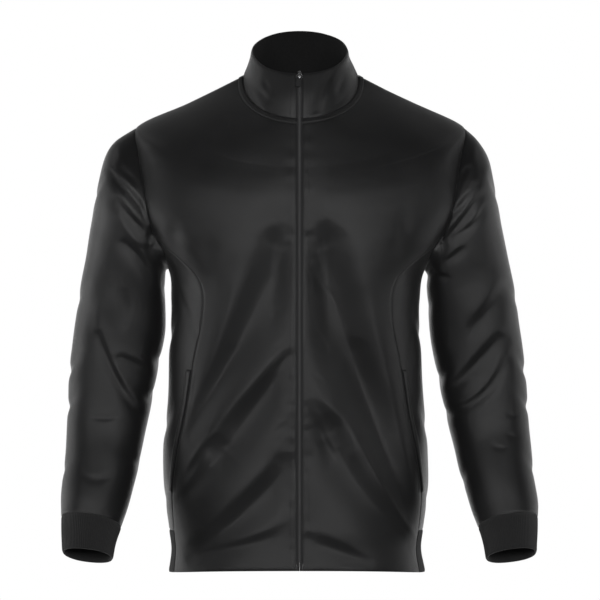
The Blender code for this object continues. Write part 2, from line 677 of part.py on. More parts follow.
def pocket_welt(side, name, material):
    """The narrow welt on the side panel behind the pocket mouth, made from the panel's points."""
    theta, height = side_grid(side)
    points, normals = body_surface(theta, height)
    spacing = BODY_LEVELS[1] - BODY_LEVELS[0]
    first, last = (POCKET_BOTTOM - RIB_SEAM) / spacing, (POCKET_TOP - RIB_SEAM) / spacing
    row = np.concatenate([[first], np.arange(math.ceil(first), math.ceil(last)), [last]])[:, None]
    cell = np.linalg.norm(points[4, 1] - points[4, 0])
    column = np.array([WELT_FROM_SEAM, WELT_WIDTH]) / cell
    row, column = np.broadcast_arrays(row, column)
    across = unit(on_grid(normals, row, column))
    points = on_grid(points, row, column) + across * (WELT_GAP + WELT_THICK)
    return cloth_piece(name, points, across, WELT_THICK, material)


def slider_frame():
    """Origin of the slider on the collar's rim, and its directions across, out and down."""
    rim, below = ring_points(COLLAR, 0.0, 1.0), ring_points(COLLAR, 0.0, 0.85)
    down = unit(below - rim)
    across = np.array([1.0, 0.0, 0.0])
    return rim, across, np.cross(across, down) * -1.0, down


def in_slider_frame(points):
    """World places of (across, out, down) points, in metres."""
    origin, across, out, down = slider_frame()
    points = np.asarray(points, float)
    return (origin + points[:, :1] * across + points[:, 1:2] * out + points[:, 2:] * down) * MM


def prism(name, outline, low, high, material=None, frame=in_slider_frame, turned=False):
    """A closed prism: an outline across and down, standing between two distances out.

    With turned, the outline runs out and down, and the prism between two distances across.
    """
    order = [1, 0, 2] if turned else [0, 1, 2]
    rings = [[(a, level, b) for a, b in outline] for level in (low, high)]
    points = np.array(rings, float).reshape(-1, 3)[:, order]
    count = len(outline)
    faces = [tuple(range(count))[::-1], tuple(range(count, 2 * count))]
    faces += [(i, (i + 1) % count, count + (i + 1) % count, count + i) for i in range(count)]
    mesh = bpy.data.meshes.new(name)
    mesh.from_pydata([tuple(v) for v in frame(points)], [], faces)
    mesh.update()
    outward(mesh)
    if material:
        mesh.materials.append(material)
    piece = bpy.data.objects.new(name, mesh)
    bpy.context.scene.collection.objects.link(piece)
    return piece


def combine(piece, other, operation):
    """Adds another shape to a piece or cuts it out, leaving the other shape as a hidden guide."""
    other.hide_render = True
    other.display_type = "WIRE"
    change = piece.modifiers.new(other.name, "BOOLEAN")
    change.operation = operation
    change.solver = "EXACT"
    change.object = other


def zip_slider(material):
    """The slider: plates before and behind the tapes, joined by its crown, and the pull's bridge."""
    wings = [
        (-CROWN_HALF, CROWN_END - 1), (CROWN_HALF, CROWN_END - 1),
        (SLIDER_HALF, SLIDER_SHOULDER), (SLIDER_HALF, SLIDER_END - FOOT_RISE),
        (SLIDER_FOOT_HALF, SLIDER_END), (-SLIDER_FOOT_HALF, SLIDER_END),
        (-SLIDER_HALF, SLIDER_END - FOOT_RISE), (-SLIDER_HALF, SLIDER_SHOULDER),
    ]
    slider = prism("zip_slider", wings, *FRONT_PLATE, material)
    combine(slider, prism("slider_back_plate", wings, *BACK_PLATE), "UNION")
    turn = np.radians(np.arange(0, 181, 30))
    middle = CROWN_TOP + CROWN_HALF
    crown = [(CROWN_HALF * math.cos(t), middle - CROWN_HALF * math.sin(t)) for t in turn]
    crown += [(-CROWN_HALF, CROWN_END), (CROWN_HALF, CROWN_END)]
    depths = BACK_PLATE[0] + CROWN_INSET, FRONT_PLATE[1] + CROWN_PROUD
    combine(slider, prism("slider_crown", crown, *depths), "UNION")
    base, roof = FRONT_PLATE[1] - BRIDGE_SUNK, FRONT_PLATE[1] + BRIDGE_ROOM
    arch = [
        (base, BRIDGE_TOP), (roof + BRIDGE_BAR, BRIDGE_TOP), (roof + BRIDGE_BAR, BRIDGE_END),
        (base, BRIDGE_END), (base, BRIDGE_LOWER_FOOT), (roof, BRIDGE_LOWER_FOOT),
        (roof, BRIDGE_UPPER_FOOT), (base, BRIDGE_UPPER_FOOT),
    ]
    combine(slider, prism("slider_bridge", arch, -BRIDGE_HALF, BRIDGE_HALF, turned=True), "UNION")
    return slider


def in_pull_frame(points):
    """World places of the pull tab's (across, out, down) points: it leans about its hinge."""
    lean = math.radians(PULL_LEAN)
    across = points[:, 0] * math.cos(lean) - points[:, 2] * math.sin(lean)
    down = points[:, 0] * math.sin(lean) + points[:, 2] * math.cos(lean)
    return in_slider_frame(np.stack([across, points[:, 1] + HINGE_OUT, down + HINGE_DOWN], axis=1))


def rounded(half_top, half_end, top, end, radius, steps=3):
    """An outline across and down with rounded corners."""
    corners = [
        (half_end - radius, end - radius, 0), (radius - half_end, end - radius, 90),
        (radius - half_top, top + radius, 180), (half_top - radius, top + radius, 270),
    ]
    outline = []
    for x, z, start in corners:
        for turn in np.radians(start + np.linspace(0, 90, steps + 1)):
            outline.append((x + radius * math.cos(turn), z + radius * math.sin(turn)))
    return outline


def pull_tab(material):
    """The pull tab, with the slot that straddles the slider's bridge."""
    half = PULL_THICK / 2
    top = -PULL_BAR / 2
    outline = rounded(PULL_TOP_HALF, PULL_END_HALF, top, top + PULL_LENGTH, PULL_ROUND)
    tab = prism("pull_tab", outline, -half, half, material, in_pull_frame)
    slot = rounded(SLOT_HALF, SLOT_HALF, PULL_BAR / 2, SLOT_END, SLOT_ROUND, 1)
    combine(tab, prism("pull_slot", slot, -2 * half, 2 * half, None, in_pull_frame), "DIFFERENCE")
    return tab


def zip_end(side, name, material):
    """A metal end on one tape at the hem."""
    inner, outer = side * END_IN, side * (END_IN + END_WIDTH)
    foot = ring_points(BODY, 0.0, HEM) + np.array([0.0, 0.0, END_RISE])
    y = foot[1] + ZIP_RECESS - SEAM_GAP

    def place(points):
        return (np.stack([points[:, 0], y - points[:, 1], foot[2] + points[:, 2]], axis=1)) * MM

    outline = [(inner, 0), (outer, 0), (outer, END_HEIGHT), (inner, END_HEIGHT)]
    return prism(name, outline, END_GAP, END_GAP + END_THICK, material, place)


def clear_scene():
    """Removes every object, mesh and material."""
    for thing in list(bpy.data.objects):
        bpy.data.objects.remove(thing)
    for mesh in list(bpy.data.meshes):
        bpy.data.meshes.remove(mesh)
    for material in list(bpy.data.materials):
        bpy.data.materials.remove(material)


def main():
    """Builds every piece of the jacket."""
    clear_scene()
    satin = finish("satin_knit", (0.018, 0.018, 0.02), 0.45)
    ribbed = finish("rib_knit", (0.014, 0.014, 0.015), 0.9)
    tape = finish("zip_tape", (0.012, 0.012, 0.013), 0.6)
    silver = finish("zip_silver", (0.75, 0.75, 0.76), 0.3, 1.0)
    moulded = finish("pull_plastic", (0.015, 0.015, 0.016), 0.45)
    for side, hand in ((1, "left"), (-1, "right")):
        front(side, f"front_{hand}", satin)
        side_panel(side, f"side_{hand}", satin)
        sleeve(side, f"sleeve_{hand}", satin)
        cuff(side, f"cuff_{hand}", ribbed)
        zip_tape(side, f"zip_{hand}", tape)
        pocket_welt(side, f"pocket_welt_{hand}", satin)
        zip_end(side, "zip_pin" if side > 0 else "zip_box", silver)
    back("back", satin)
    hem_rib("hem_rib", ribbed)
    collar("collar", satin)
    zip_slider(silver)
    pull_tab(moulded)


main()
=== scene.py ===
"""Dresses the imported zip-up sweatshirt: satin knit shells with their folds, ribs, zip and sewing.

Metres in Blender, millimetres in the tables below. The front faces -Y, the wearer's left is +X,
and the origin lies on the centre line where the neck seam crosses the shoulder seams.
"""

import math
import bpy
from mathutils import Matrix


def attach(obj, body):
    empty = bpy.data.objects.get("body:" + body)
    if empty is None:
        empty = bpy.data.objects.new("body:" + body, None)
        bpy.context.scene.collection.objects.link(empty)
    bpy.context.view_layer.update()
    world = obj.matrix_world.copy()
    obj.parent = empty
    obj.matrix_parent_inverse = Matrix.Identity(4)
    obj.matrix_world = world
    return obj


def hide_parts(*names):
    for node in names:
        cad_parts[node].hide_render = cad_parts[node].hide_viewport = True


bl_info = {
    "name": "Zip-up sweatshirt",
    "version": (1, 0, 0),
    "blender": (4, 5, 0),
    "location": "View3D > Sidebar > Sweatshirt",
    "description": "Knit shells, zip, sewing and stage round the packed sweatshirt",
    "category": "Object",
}

import bpy
import numpy as np
from bpy.props import FloatProperty, FloatVectorProperty, IntProperty, PointerProperty

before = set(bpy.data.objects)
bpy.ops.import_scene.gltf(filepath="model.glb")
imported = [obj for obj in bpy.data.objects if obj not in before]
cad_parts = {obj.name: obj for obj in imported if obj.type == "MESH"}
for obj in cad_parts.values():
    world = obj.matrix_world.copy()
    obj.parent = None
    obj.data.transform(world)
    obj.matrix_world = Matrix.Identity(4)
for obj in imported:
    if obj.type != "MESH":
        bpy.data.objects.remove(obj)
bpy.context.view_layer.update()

MM = 0.001
GARMENT = "garment"

# Heights of the body's landmarks, read at the side of each ring
HEM, RIB_SEAM, SIDE_SEAM_TOP, ARMPIT = -703.0, -643.0, -225.0, -274.0
SHOULDER_POINT, NECK = -72.0, 0.0
POCKET_TOP, POCKET_BOTTOM = -412.0, -589.0
# How far up and down, from where, and over which share of the width the rings are averaged
EASE, EASE_FROM, EASE_RISE, EASE_SHARE = 60.0, -360.0, 80.0, 0.4
EASE_PLACES, EASE_WEIGHTS = (-1, -0.5, 0, 0.5, 1), (1 / 16, 1 / 4, 3 / 8, 1 / 4, 1 / 16)
# Half the gap between the fronts, half the breadth of the body, and the rough length of an
# armhole, a shoulder and a side panel's breadth, which say how many rows or columns they get
ZIP_HALF, BODY_RADIUS = 4.2, 165.0
ARMHOLE_RUN, YOKE_RUN, SIDE_RUN = 168, 150, 150
BAND_ROWS, BAND_REACH = 19, 8.0
# Sleeve sections: where the wall's direction is read, and where the armhole's shape has faded
SLEEVE_START, SLEEVE_EASE = 0.35, 3.0
# Extra rows beside a seam, as shares of the spacing; how near to a seam the walls lean to it
SEAM_SHARES, SEAM_REACH, ROLL_REACH = (0.28, 0.6), 4, 1.7


def table(columns, rows):
    """Named columns from a short table, each an array with one value a row."""
    return {name: np.array(values, float) for name, values in zip(columns.split(), zip(*rows))}


# Rings of the body from the hem up. at: height at the side. right, left: half widths. front, back:
# how far the centre front and centre back lie from the origin. side_y: place of the side.
# round: 2 is an ellipse, more is squarer. front_z, back_z: heights at the centre front and back.
# dip: how the height passes from the side to the centres.
BODY = table("at side_z right left front back side_y round front_z back_z dip", [
    (-703, -703, 186, 178, 113, 106, 2, 2.5, -690, -703, 1.5),
    (-668, -668, 182, 172, 110, 103, 2, 2.5, -657, -668, 1.5),
    (-643, -643, 185, 175, 113, 107, 2, 2.5, -634, -643, 1.5),
    (-590, -590, 192, 182, 118, 113, 3, 2.5, -584, -590, 1.5),
    (-530, -530, 193, 182, 119, 112, 4, 2.5, -528, -530, 1.5),
    (-460, -460, 187, 176, 118, 104, 4, 2.4, -462, -460, 1.5),
    (-390, -390, 185, 173, 121, 102, 4, 2.4, -396, -388, 1.5),
    (-318, -318, 182, 171, 127, 110, 4, 2.4, -330, -314, 1.5),
    (-274, -274, 186, 178, 129, 116, 4, 2.4, -292, -268, 1.5),
    (-250, -250, 200, 194, 130, 119, 5, 2.4, -272, -244, 1.5),
    (-225, -225, 215, 212, 130, 120, 5, 2.4, -252, -219, 1.5),
    (-170, -170, 239, 239, 128, 121, 6, 2.3, -214, -168, 1.5),
    (-119, -119, 239, 240, 123, 118, 7, 2.2, -184, -124, 1.5),
    (-95, -95, 238, 240, 119, 115, 8, 2.1, -169, -103, 1.5),
    (-72, -72, 232, 234, 115, 110, 8, 2.1, -152, -80, 1.5),
    (-36, -36, 157, 159, 100, 90, 5, 2.0, -112, -30, 1.2),
    (0, 0, 80, 84, 81, 62, -2, 2.0, -66, 10, 0.8),
])

# The stand collar from the neck seam to its rim, in the same columns
COLLAR = table("at side_z right left front back side_y round front_z back_z dip", [
    (0.0, 0, 80, 84, 81, 62, -2, 2.0, -66, 10, 0.8),
    (0.35, 14, 74, 77, 77, 60, -5, 2.0, -44, 32, 0.9),
    (0.7, 26, 70, 71, 71, 56, -9, 2.0, -22, 53, 1.0),
    (1.0, 36, 68, 69, 64, 52, -13, 2.0, -2, 71, 1.0),
])

# Where the front and the back end at the side, as shares of the half width: the side seams up to
# SIDE_SEAM_TOP, the armhole above it
EDGES = table("at front back", [
    (-703, 0.945, 0.87),
    (-643, 0.945, 0.87),
    (-586, 0.935, 0.87),
    (-530, 0.895, 0.85),
    (-488, 0.855, 0.82),
    (-413, 0.80, 0.77),
    (-339, 0.742, 0.73),
    (-300, 0.735, 0.73),
    (-272, 0.77, 0.765),
    (-250, 0.85, 0.84),
    (-225, 0.935, 0.915),
    (-198, 0.915, 0.875),
    (-170, 0.90, 0.852),
    (-142, 0.91, 0.875),
    (-119, 0.933, 0.913),
    (-95, 0.957, 0.952),
    (-80, 0.985, 0.983),
    (-72, 1.0, 1.0),
])

# Sections of the wearer's right sleeve from the armhole down, X counted away from the body.
# outer, inner: the ends of the section in the front view. front_y, back_y: its ends in depth.
# lean: how much higher its front lies than its middle. closer: what the left sleeve hangs nearer in.
SLEEVE = table("at outer_x outer_z inner_x inner_z front_y back_y round lean closer", [
    (0, 232, -72, 188, -274, -62, 78, 2.1, 0, -3),
    (1, 261, -91, 191, -277, -66, 81, 2.3, 0, 7),
    (2, 278, -119, 192, -284, -66, 82, 2.4, 0, 8),
    (3, 288, -160, 192, -297, -64, 80, 2.45, 0, 10),
    (4, 295, -204, 192, -315, -60, 78, 2.45, 0, 9),
    (5, 303, -248, 192, -338, -55, 75, 2.4, 0, 8),
    (6, 311, -292, 193, -364, -51, 73, 2.4, 1, 7),
    (7, 318, -336, 197, -392, -47, 70, 2.4, 2, 7),
    (8, 324, -380, 203, -422, -44, 66, 2.4, 4, 7),
    (9, 328, -428, 210, -460, -46, 56, 2.4, 8, 6),
    (10, 329, -474, 217, -496, -52, 43, 2.35, 12, 5),
    (11, 330, -516, 223, -526, -62, 28, 2.3, 15, 4),
    (12, 331, -556, 229, -560, -78, 8, 2.3, 17, 3),
    (13, 333, -593, 237, -596, -95, -15, 2.2, 17, 1),
    (14, 331, -620, 248, -632, -109, -42, 2.2, 15, 0),
])
CUFF = table("at outer_x outer_z inner_x inner_z front_y back_y round lean closer", [
    (0, 331, -620, 248, -632, -109, -42, 2.2, 15, 0),
    (1, 329, -644, 254, -654, -118, -62, 2.2, 14, 0),
    (2, 327, -666, 257, -674, -126, -72, 2.2, 13, 0),
])

# How far the front hangs back from its base form at each height
DRAPE = table("at sunk", [
    (-703, 0.0),
    (-683, -2.1),
    (-655, -3.1),
    (-625, 0.0),
    (-595, 2.6),
    (-565, 3.4),
    (-535, 3.4),
    (-505, 1.8),
    (-475, -0.3),
    (-445, -1.3),
    (-385, -0.8),
    (-325, 1.3),
    (-265, 2.3),
    (-225, 1.2),
    (-180, 0.0),
    (-72, 0.0),
])

# Folds. Each runs along a curve through three places seen flat: x across and z up from the front
# or the back, x in depth from the side. start, end: half width at its two ends. depth: how far the
# cloth sinks at the widest, or stands up where it is negative. steep: the side on which the cloth
# falls short and steep, 1 on the left hand of one who follows the curve, -1 on the right hand, and
# 0 where both sides are alike. On the other side it rises gently.
FOLDS = "x0 z0 x1 z1 x2 z2 start end depth steep"
BODY_FRONT = table(FOLDS, [
    (-22, -254, -80, -368, -153, -504, 44, 8, 23.0, -1),
    (-16, -400, -59, -462, -106, -526, 16, 28, 12.5, -1),
    (-106, -524, -137, -562, -175, -604, 15, 7, 5.0, -1),
    (-114, -510, -138, -537, -164, -570, 9, 6, 2.2, -1),
    (-20, -551, -74, -608, -147, -670, 24, 17, 9.5, -1),
    (-20, -636, -73, -655, -150, -676, 13, 8, 3.4, -1),
    (-95, -395, -122, -444, -153, -502, 18, 10, 3.0, -1),
    (-118, -500, -137, -520, -158, -550, 3, 3, -1.2, 0),
    (23, -254, 80, -410, 152, -612, 52, 17, 32.0, 1),
    (76, -396, 112, -482, 150, -600, 26, 15, 6.5, 1),
    (17, -282, 30, -299, 46, -314, 8, 6, 2.0, 1),
    (18, -357, 28, -370, 38, -384, 7, 5, 1.6, 1),
    (16, -458, 36, -480, 58, -518, 10, 19, 4.2, 1),
    (42, -504, 85, -578, 148, -655, 32, 16, 14.0, 1),
    (16, -474, 30, -506, 45, -530, 9, 8, 2.4, 1),
    (86, -520, 118, -578, 160, -648, 3, 3, -1.6, 0),
    (13, -648, 52, -662, 94, -682, 14, 10, 4.0, 1),
    (-173, -215, -176, -240, -170, -268, 13, 10, 2.6, 0),
    (-125, -236, -127, -262, -122, -292, 12, 9, 1.4, 0),
    (143, -205, 145, -228, 140, -255, 13, 9, 2.0, 0),
    (-176, -292, -163, -322, -141, -366, 6, 4, 3.4, 1),
    (168, -312, 159, -356, 149, -398, 6, 4, 3.0, -1),
    (-18, -375, -24, -377, -33, -382, 4, 3, 1.2, 0),
    (-16, -395, -23, -402, -30, -412, 4, 4, 1.2, 0),
    (-17, -488, -24, -493, -34, -500, 4, 3, 1.2, 0),
    (18, -376, 24, -380, 31, -386, 4, 3, 1.0, 0),
    (-17, -330, -26, -333, -36, -340, 4, 4, 0.9, 0),
    (17, -420, 24, -424, 32, -430, 3, 3, 0.9, 0),
    (30, -100, 90, -120, 150, -105, 20, 16, 0.9, 0),
    (-40, -130, -100, -135, -150, -112, 18, 16, 0.8, 0),
])
BODY_BACK = table(FOLDS, [
    (-30, -250, -70, -380, -150, -480, 22, 9, 9.5, 1),
    (34, -270, 84, -400, 155, -520, 22, 9, 9.5, -1),
    (-120, -600, -50, -560, 40, -575, 16, 12, 6.8, 1),
    (120, -620, 70, -590, 20, -630, 14, 12, 5.4, -1),
    (-60, -440, 0, -425, 70, -450, 15, 13, 5.4, 1),
    (-150, -540, -100, -520, -40, -500, 10, 7, 3.4, 1),
    (150, -470, 95, -480, 45, -510, 10, 7, 3.4, -1),
    (-90, -300, -60, -345, -20, -370, 10, 6, 2.4, 1),
    (96, -310, 60, -340, 24, -352, 9, 6, 2.2, -1),
    (-165, -215, -150, -262, -118, -305, 12, 8, 3.5, 1),
    (168, -205, 152, -255, 122, -300, 12, 8, 3.5, -1),
    (-40, -120, 0, -128, 45, -118, 18, 14, 1.2, 0),
    (-10, -640, 40, -618, 90, -632, 10, 8, 2.4, 0),
])
SLEEVE_FRONT = table(FOLDS, [
    (-266, -137, -228, -178, -203, -214, 6, 7, 3.6, 1),
    (-252, -132, -240, -143, -228, -154, 6, 5, 1.4, 0),
    (-263, -145, -255, -155, -247, -165, 4, 4, 1.4, 0),
    (-256, -179, -232, -207, -211, -226, 7, 7, 3.4, 1),
    (-252, -200, -229, -233, -208, -238, 6, 5, -2.2, 0),
    (-243, -239, -222, -261, -208, -286, 7, 8, 4.2, 1),
    (-279, -318, -281, -346, -279, -374, 11, 9, -1.7, 0),
    (-246, -312, -244, -330, -246, -350, 9, 8, 2.1, 0),
    (-282, -366, -254, -434, -219, -480, 6, 8, 4.8, 1),
    (-250, -400, -227, -411, -208, -427, 8, 7, 3.6, 1),
    (-287, -481, -271, -483, -256, -480, 4, 4, 1.3, 0),
    (-300, -560, -280, -566, -262, -560, 6, 5, 1.1, 0),
    (236, -133, 221, -145, 211, -161, 5, 5, 2.2, -1),
    (243, -158, 225, -186, 197, -205, 6, 6, 3.1, -1),
    (249, -146, 240, -162, 231, -179, 5, 4, -1.7, 0),
    (251, -173, 227, -206, 197, -241, 6, 6, 4.8, -1),
    (256, -190, 243, -211, 212, -233, 5, 5, 2.8, -1),
    (225, -248, 214, -257, 203, -265, 5, 5, 3.4, -1),
    (181, -268, 189, -280, 205, -285, 5, 4, 4.2, 1),
    (288, -301, 268, -329, 243, -358, 13, 12, 3.9, -1),
    (205, -117, 213, -114, 221, -110, 4, 4, 1.4, 0),
    (279, -374, 234, -422, 202, -453, 11, 8, 6.2, -1),
    (289, -402, 256, -451, 209, -474, 7, 7, 3.9, -1),
    (290, -476, 297, -479, 305, -480, 4, 3, 1.1, 0),
    (292, -505, 299, -509, 306, -510, 4, 3, 1.1, 0),
    (270, -521, 278, -524, 288, -524, 4, 3, 1.0, 0),
])
SLEEVE_BACK = table(FOLDS, [
    (-290, -385, -252, -424, -212, -432, 9, 8, 4.7, 1),
    (-272, -180, -232, -230, -204, -262, 7, 8, 3.9, 1),
    (-262, -140, -232, -175, -205, -196, 6, 6, 2.9, 1),
    (-286, -350, -262, -374, -228, -384, 7, 7, 2.6, 1),
    (-296, -430, -268, -462, -232, -470, 7, 6, 2.9, 1),
    (-262, -262, -238, -296, -214, -306, 9, 7, 2.6, 1),
    (286, -372, 246, -424, 212, -440, 9, 8, 4.9, -1),
    (262, -166, 230, -214, 200, -250, 7, 8, 3.9, -1),
    (258, -136, 232, -165, 208, -184, 6, 6, 2.6, -1),
    (284, -420, 262, -462, 226, -476, 8, 6, 3.4, -1),
    (270, -250, 246, -292, 214, -312, 10, 8, 2.9, -1),
    (290, -520, 270, -534, 244, -530, 7, 6, 1.6, 0),
])
# From the side, x runs back from the front
SLEEVE_OUTER = table(FOLDS, [
    (-34, -150, 0, -176, 34, -170, 9, 8, 2.1, 0),
    (-30, -392, 0, -420, 40, -398, 9, 9, 3.1, 0),
    (-40, -446, -5, -470, 34, -436, 8, 8, 2.9, 0),
    (-30, -300, 6, -318, 40, -296, 10, 9, 1.8, 0),
    (-60, -540, -34, -562, -6, -544, 8, 7, 1.6, 0),
])
SIDE_OUTER = table(FOLDS, [
    (-50, -330, 0, -372, 46, -340, 13, 12, 2.4, 0),
    (-44, -470, 4, -500, 48, -462, 13, 11, 2.6, 0),
    (-30, -585, 10, -606, 50, -590, 11, 10, 1.8, 0),
])
COLLAR_FRONT = table(FOLDS, [
    (45, -1, 34, -23, 25, -54, 4, 6, 3.8, 1),
    (62, -9, 58, -19, 54, -29, 5, 5, 1.9, 0),
    (-58, -25, -52, -31, -46, -38, 5, 5, 1.8, 0),
    (-49, -12, -46, -20, -42, -27, 5, 4, 1.6, 0),
    (66, -30, 60, -38, 52, -45, 5, 5, 1.3, 0),
])
COLLAR_BACK = table(FOLDS, [
    (-44, 60, -36, 36, -30, 16, 6, 5, 1.4, 0),
    (38, 62, 34, 40, 24, 18, 6, 5, 1.3, 0),
    (-6, 30, 0, 28, 8, 29, 7, 6, 0.6, 0),
])

# Profile of a fold, in half widths: GENTLE and FOLD_REACH are the reach of its gentle side, LIP,
# FALL and RIDGE the depth, form and raised edge of its steep one, and SHOULDER joins the last two
FOLD_STEPS, FOLD_END, FOLD_FADE, FOLD_REACH = 14, 0.11, 0.7, 2.6
GENTLE, LIP, FALL, RIDGE, SHOULDER = 1.3, 0.8, 1.4, 0.2, 0.24
# Beside the zip the folds keep CALM_SHARE of their depth and grow back over CALM_REACH, and the
# cloth has small puckers
CALM_REACH, CALM_SHARE, PUCKER, PUCKER_REACH = 38, 0.4, 0.17, 7
# Waves that make up the cloth's unevenness, and how high they reach together
SWELLS, SWELL_SPREAD = 7, 2.6


def length(name, description, default):
    """A length in metres that a user may change."""
    return FloatProperty(name=name, description=description, default=default, unit="LENGTH")


def colour(name, description, *default):
    """A colour that a user may change."""
    return FloatVectorProperty(name=name, description=description, default=default, subtype="COLOR")


class ClothSizes(bpy.types.PropertyGroup):
    """Thickness of the cloths and how finely they are drawn."""

    cloth: length("Cloth", "Thickness of the satin double knit", 0.0016)
    rib: length("Rib", "Thickness of the rib knit between its ribs", 0.0024)
    rib_height: length("Rib height", "How far each rib stands up", 0.0004)
    roll: length("Seam roll", "How far cloth rolls in at a seam", 0.0007)
    spacing: length("Spacing", "Distance between drawn points of cloth", 0.0029)
    cuff_ribs: IntProperty(name="Cuff ribs", description="Ribs round a cuff", default=92)
    hem_ribs: IntProperty(name="Hem ribs", description="Ribs along the hem band", default=232)


class SewingSizes(bpy.types.PropertyGroup):
    """Stitches and where their rows lie."""

    stitch: length("Stitch", "Length of one stitch", 0.0024)
    pitch: length("Pitch", "Distance from stitch to stitch", 0.0032)
    thread: length("Thread", "Radius of the thread", 0.00024)
    beside_zip: length("Beside zip", "Row beside the zip, from the centre", 0.013)
    under_neck: length("Under neck", "Upper row under the neck seam", 0.0016)
    neck_band: length("Neck band", "Lower row under the neck seam", 0.0078)
    beside_pocket: length("Beside pocket", "Row in front of a pocket mouth", 0.0065)


class ZipSizes(bpy.types.PropertyGroup):
    """The zip's tapes and coil."""

    recess: length("Recess", "How far the tape lies under the cloth", 0.0011)
    tape: length("Tape", "Thickness of the tape", 0.0006)
    tooth_pitch: length("Tooth pitch", "Distance from tooth to tooth on one tape", 0.0026)
    tooth: length("Tooth", "Radius of the coil's wire", 0.00042)


class Finishes(bpy.types.PropertyGroup):
    """Colours of the cloths and the hardware, with painted highlights in the coil's colour."""

    satin: colour("Satin knit", "Colour of the body cloth", 0.0175, 0.0175, 0.018)
    lining: colour("Wrong side", "Colour of the body cloth's inside", 0.014, 0.014, 0.0143)
    rib: colour("Rib knit", "Colour of the ribs", 0.023, 0.023, 0.0235)
    tape: colour("Tape", "Colour of the zip tapes", 0.03, 0.03, 0.031)
    # The coil's light grey is partly its nylon and partly painted highlight, standing in for the glints
    # on its teeth
    coil: colour("Coil", "Colour of the nylon coil", 0.16, 0.16, 0.163)
    thread: colour("Thread", "Colour of the sewing thread", 0.02, 0.02, 0.021)
    silver: colour("Silver", "Colour of the metal", 0.78, 0.78, 0.79)
    pull: colour("Pull", "Colour of the pull tab", 0.02, 0.02, 0.021)


class StageSizes(bpy.types.PropertyGroup):
    """Floor, lights and camera."""

    floor: length("Floor", "Height of the floor under the neck", -1.48)
    radius: length("Radius", "Radius of the floor", 5.0)
    distance: length("Distance", "Camera's distance", 3.2)
    height: length("Height", "Camera's height", -0.318)
    lens: FloatProperty(name="Lens", description="Focal length in millimetres", default=135.0)


def curve(tab, column, at):
    """A column read anywhere between the rows, on a smooth curve through them."""
    knots, values = tab["at"], tab[column]
    slopes = np.gradient(values, knots)
    at = np.clip(at, knots[0], knots[-1])
    i = np.clip(np.searchsorted(knots, at, side="right") - 1, 0, len(knots) - 2)
    span = knots[i + 1] - knots[i]
    t = (at - knots[i]) / span
    low = values[i] * (1 + 2 * t) * (1 - t) ** 2 + slopes[i] * span * t * (1 - t) ** 2
    high = values[i + 1] * t**2 * (3 - 2 * t) + slopes[i + 1] * span * t**2 * (t - 1)
    return low + high


def eased(share):
    """A smooth step from 0 to 1."""
    share = np.clip(share, 0, 1)
    return share * share * (3 - 2 * share)


def unit(vectors):
    """Vectors of length one."""
    return vectors / np.maximum(np.linalg.norm(vectors, axis=-1, keepdims=True), 1e-9)


def plain_ring(tab, theta, at):
    """Points of a table's rings as they stand."""
    sine, cosine = np.sin(np.radians(theta)), np.cos(np.radians(theta))
    side_y = curve(tab, "side_y", at)
    wide = np.where(sine >= 0, curve(tab, "left", at), curve(tab, "right", at))
    deep = np.where(cosine >= 0, curve(tab, "front", at) + side_y, curve(tab, "back", at) - side_y)
    end_z = np.where(cosine >= 0, curve(tab, "front_z", at), curve(tab, "back_z", at))
    power = curve(tab, "round", at)
    reach = (np.abs(sine / wide) ** power + np.abs(cosine / deep) ** power) ** (-1 / power)
    centre_share = np.abs(reach * cosine / deep) ** curve(tab, "dip", at)
    side_z = curve(tab, "side_z", at)
    z = side_z + (end_z - side_z) * centre_share
    return np.stack([reach * sine, side_y - reach * cosine, z], axis=-1)


def ring_points(tab, theta, at):
    """Points of a body or collar surface. theta turns in degrees from the centre front by +X."""
    theta, at = np.broadcast_arrays(np.asarray(theta, float), np.asarray(at, float))
    exact = plain_ring(tab, theta, at)
    if tab is COLLAR:
        return exact
    wide = np.where(exact[..., 0] >= 0, curve(tab, "left", at), curve(tab, "right", at))
    inward = np.clip((1 - np.abs(exact[..., 0]) / wide) / EASE_SHARE, 0, 1)
    reach = EASE * np.clip((at - EASE_FROM) / EASE_RISE, 0, 1) * inward
    reach = np.minimum(reach, NECK - at)
    return sum(
        weight * plain_ring(tab, theta, at + place * reach)
        for place, weight in zip(EASE_PLACES, EASE_WEIGHTS)
    )


def ring_normals(tab, theta, at):
    """Outward normals of the same surface."""
    turn, step = 0.4, 0.004 * (tab["at"][-1] - tab["at"][0])
    low, high = np.maximum(at - step, tab["at"][0]), np.minimum(at + step, tab["at"][-1])
    around = ring_points(tab, theta + turn, at) - ring_points(tab, theta - turn, at)
    up = ring_points(tab, theta, high) - ring_points(tab, theta, low)
    return unit(np.cross(around, up))


def angle_at(tab, share, at, side, back=False):
    """The angle at which the surface lies at this share of its half width."""
    wide = curve(tab, "left" if side > 0 else "right", at)
    side_y = curve(tab, "side_y", at)
    deep = curve(tab, "back", at) - side_y if back else curve(tab, "front", at) + side_y
    power = curve(tab, "round", at)
    share = np.clip(share, 0, 1)
    centre = np.maximum(1 - share**power, 0) ** (1 / power)
    angle = np.degrees(np.arctan2(share * wide, centre * deep))
    angle = 180 - angle if back else angle
    return angle if side > 0 else 360 - angle


def edge_angle(at, side, back=False):
    """Where the front or the back ends at this height, at its side seam, armhole or shoulder seam."""
    at = np.asarray(at, float)
    share = curve(EDGES, "back" if back else "front", np.minimum(at, SHOULDER_POINT))
    return angle_at(BODY, np.where(at >= SHOULDER_POINT - 1e-6, 1.0, share), at, side, back)


def across_angle(tab, at, across, side):
    """The angle at which the surface lies this far from the centre front."""
    return angle_at(tab, across / curve(tab, "left" if side > 0 else "right", at), at, side)


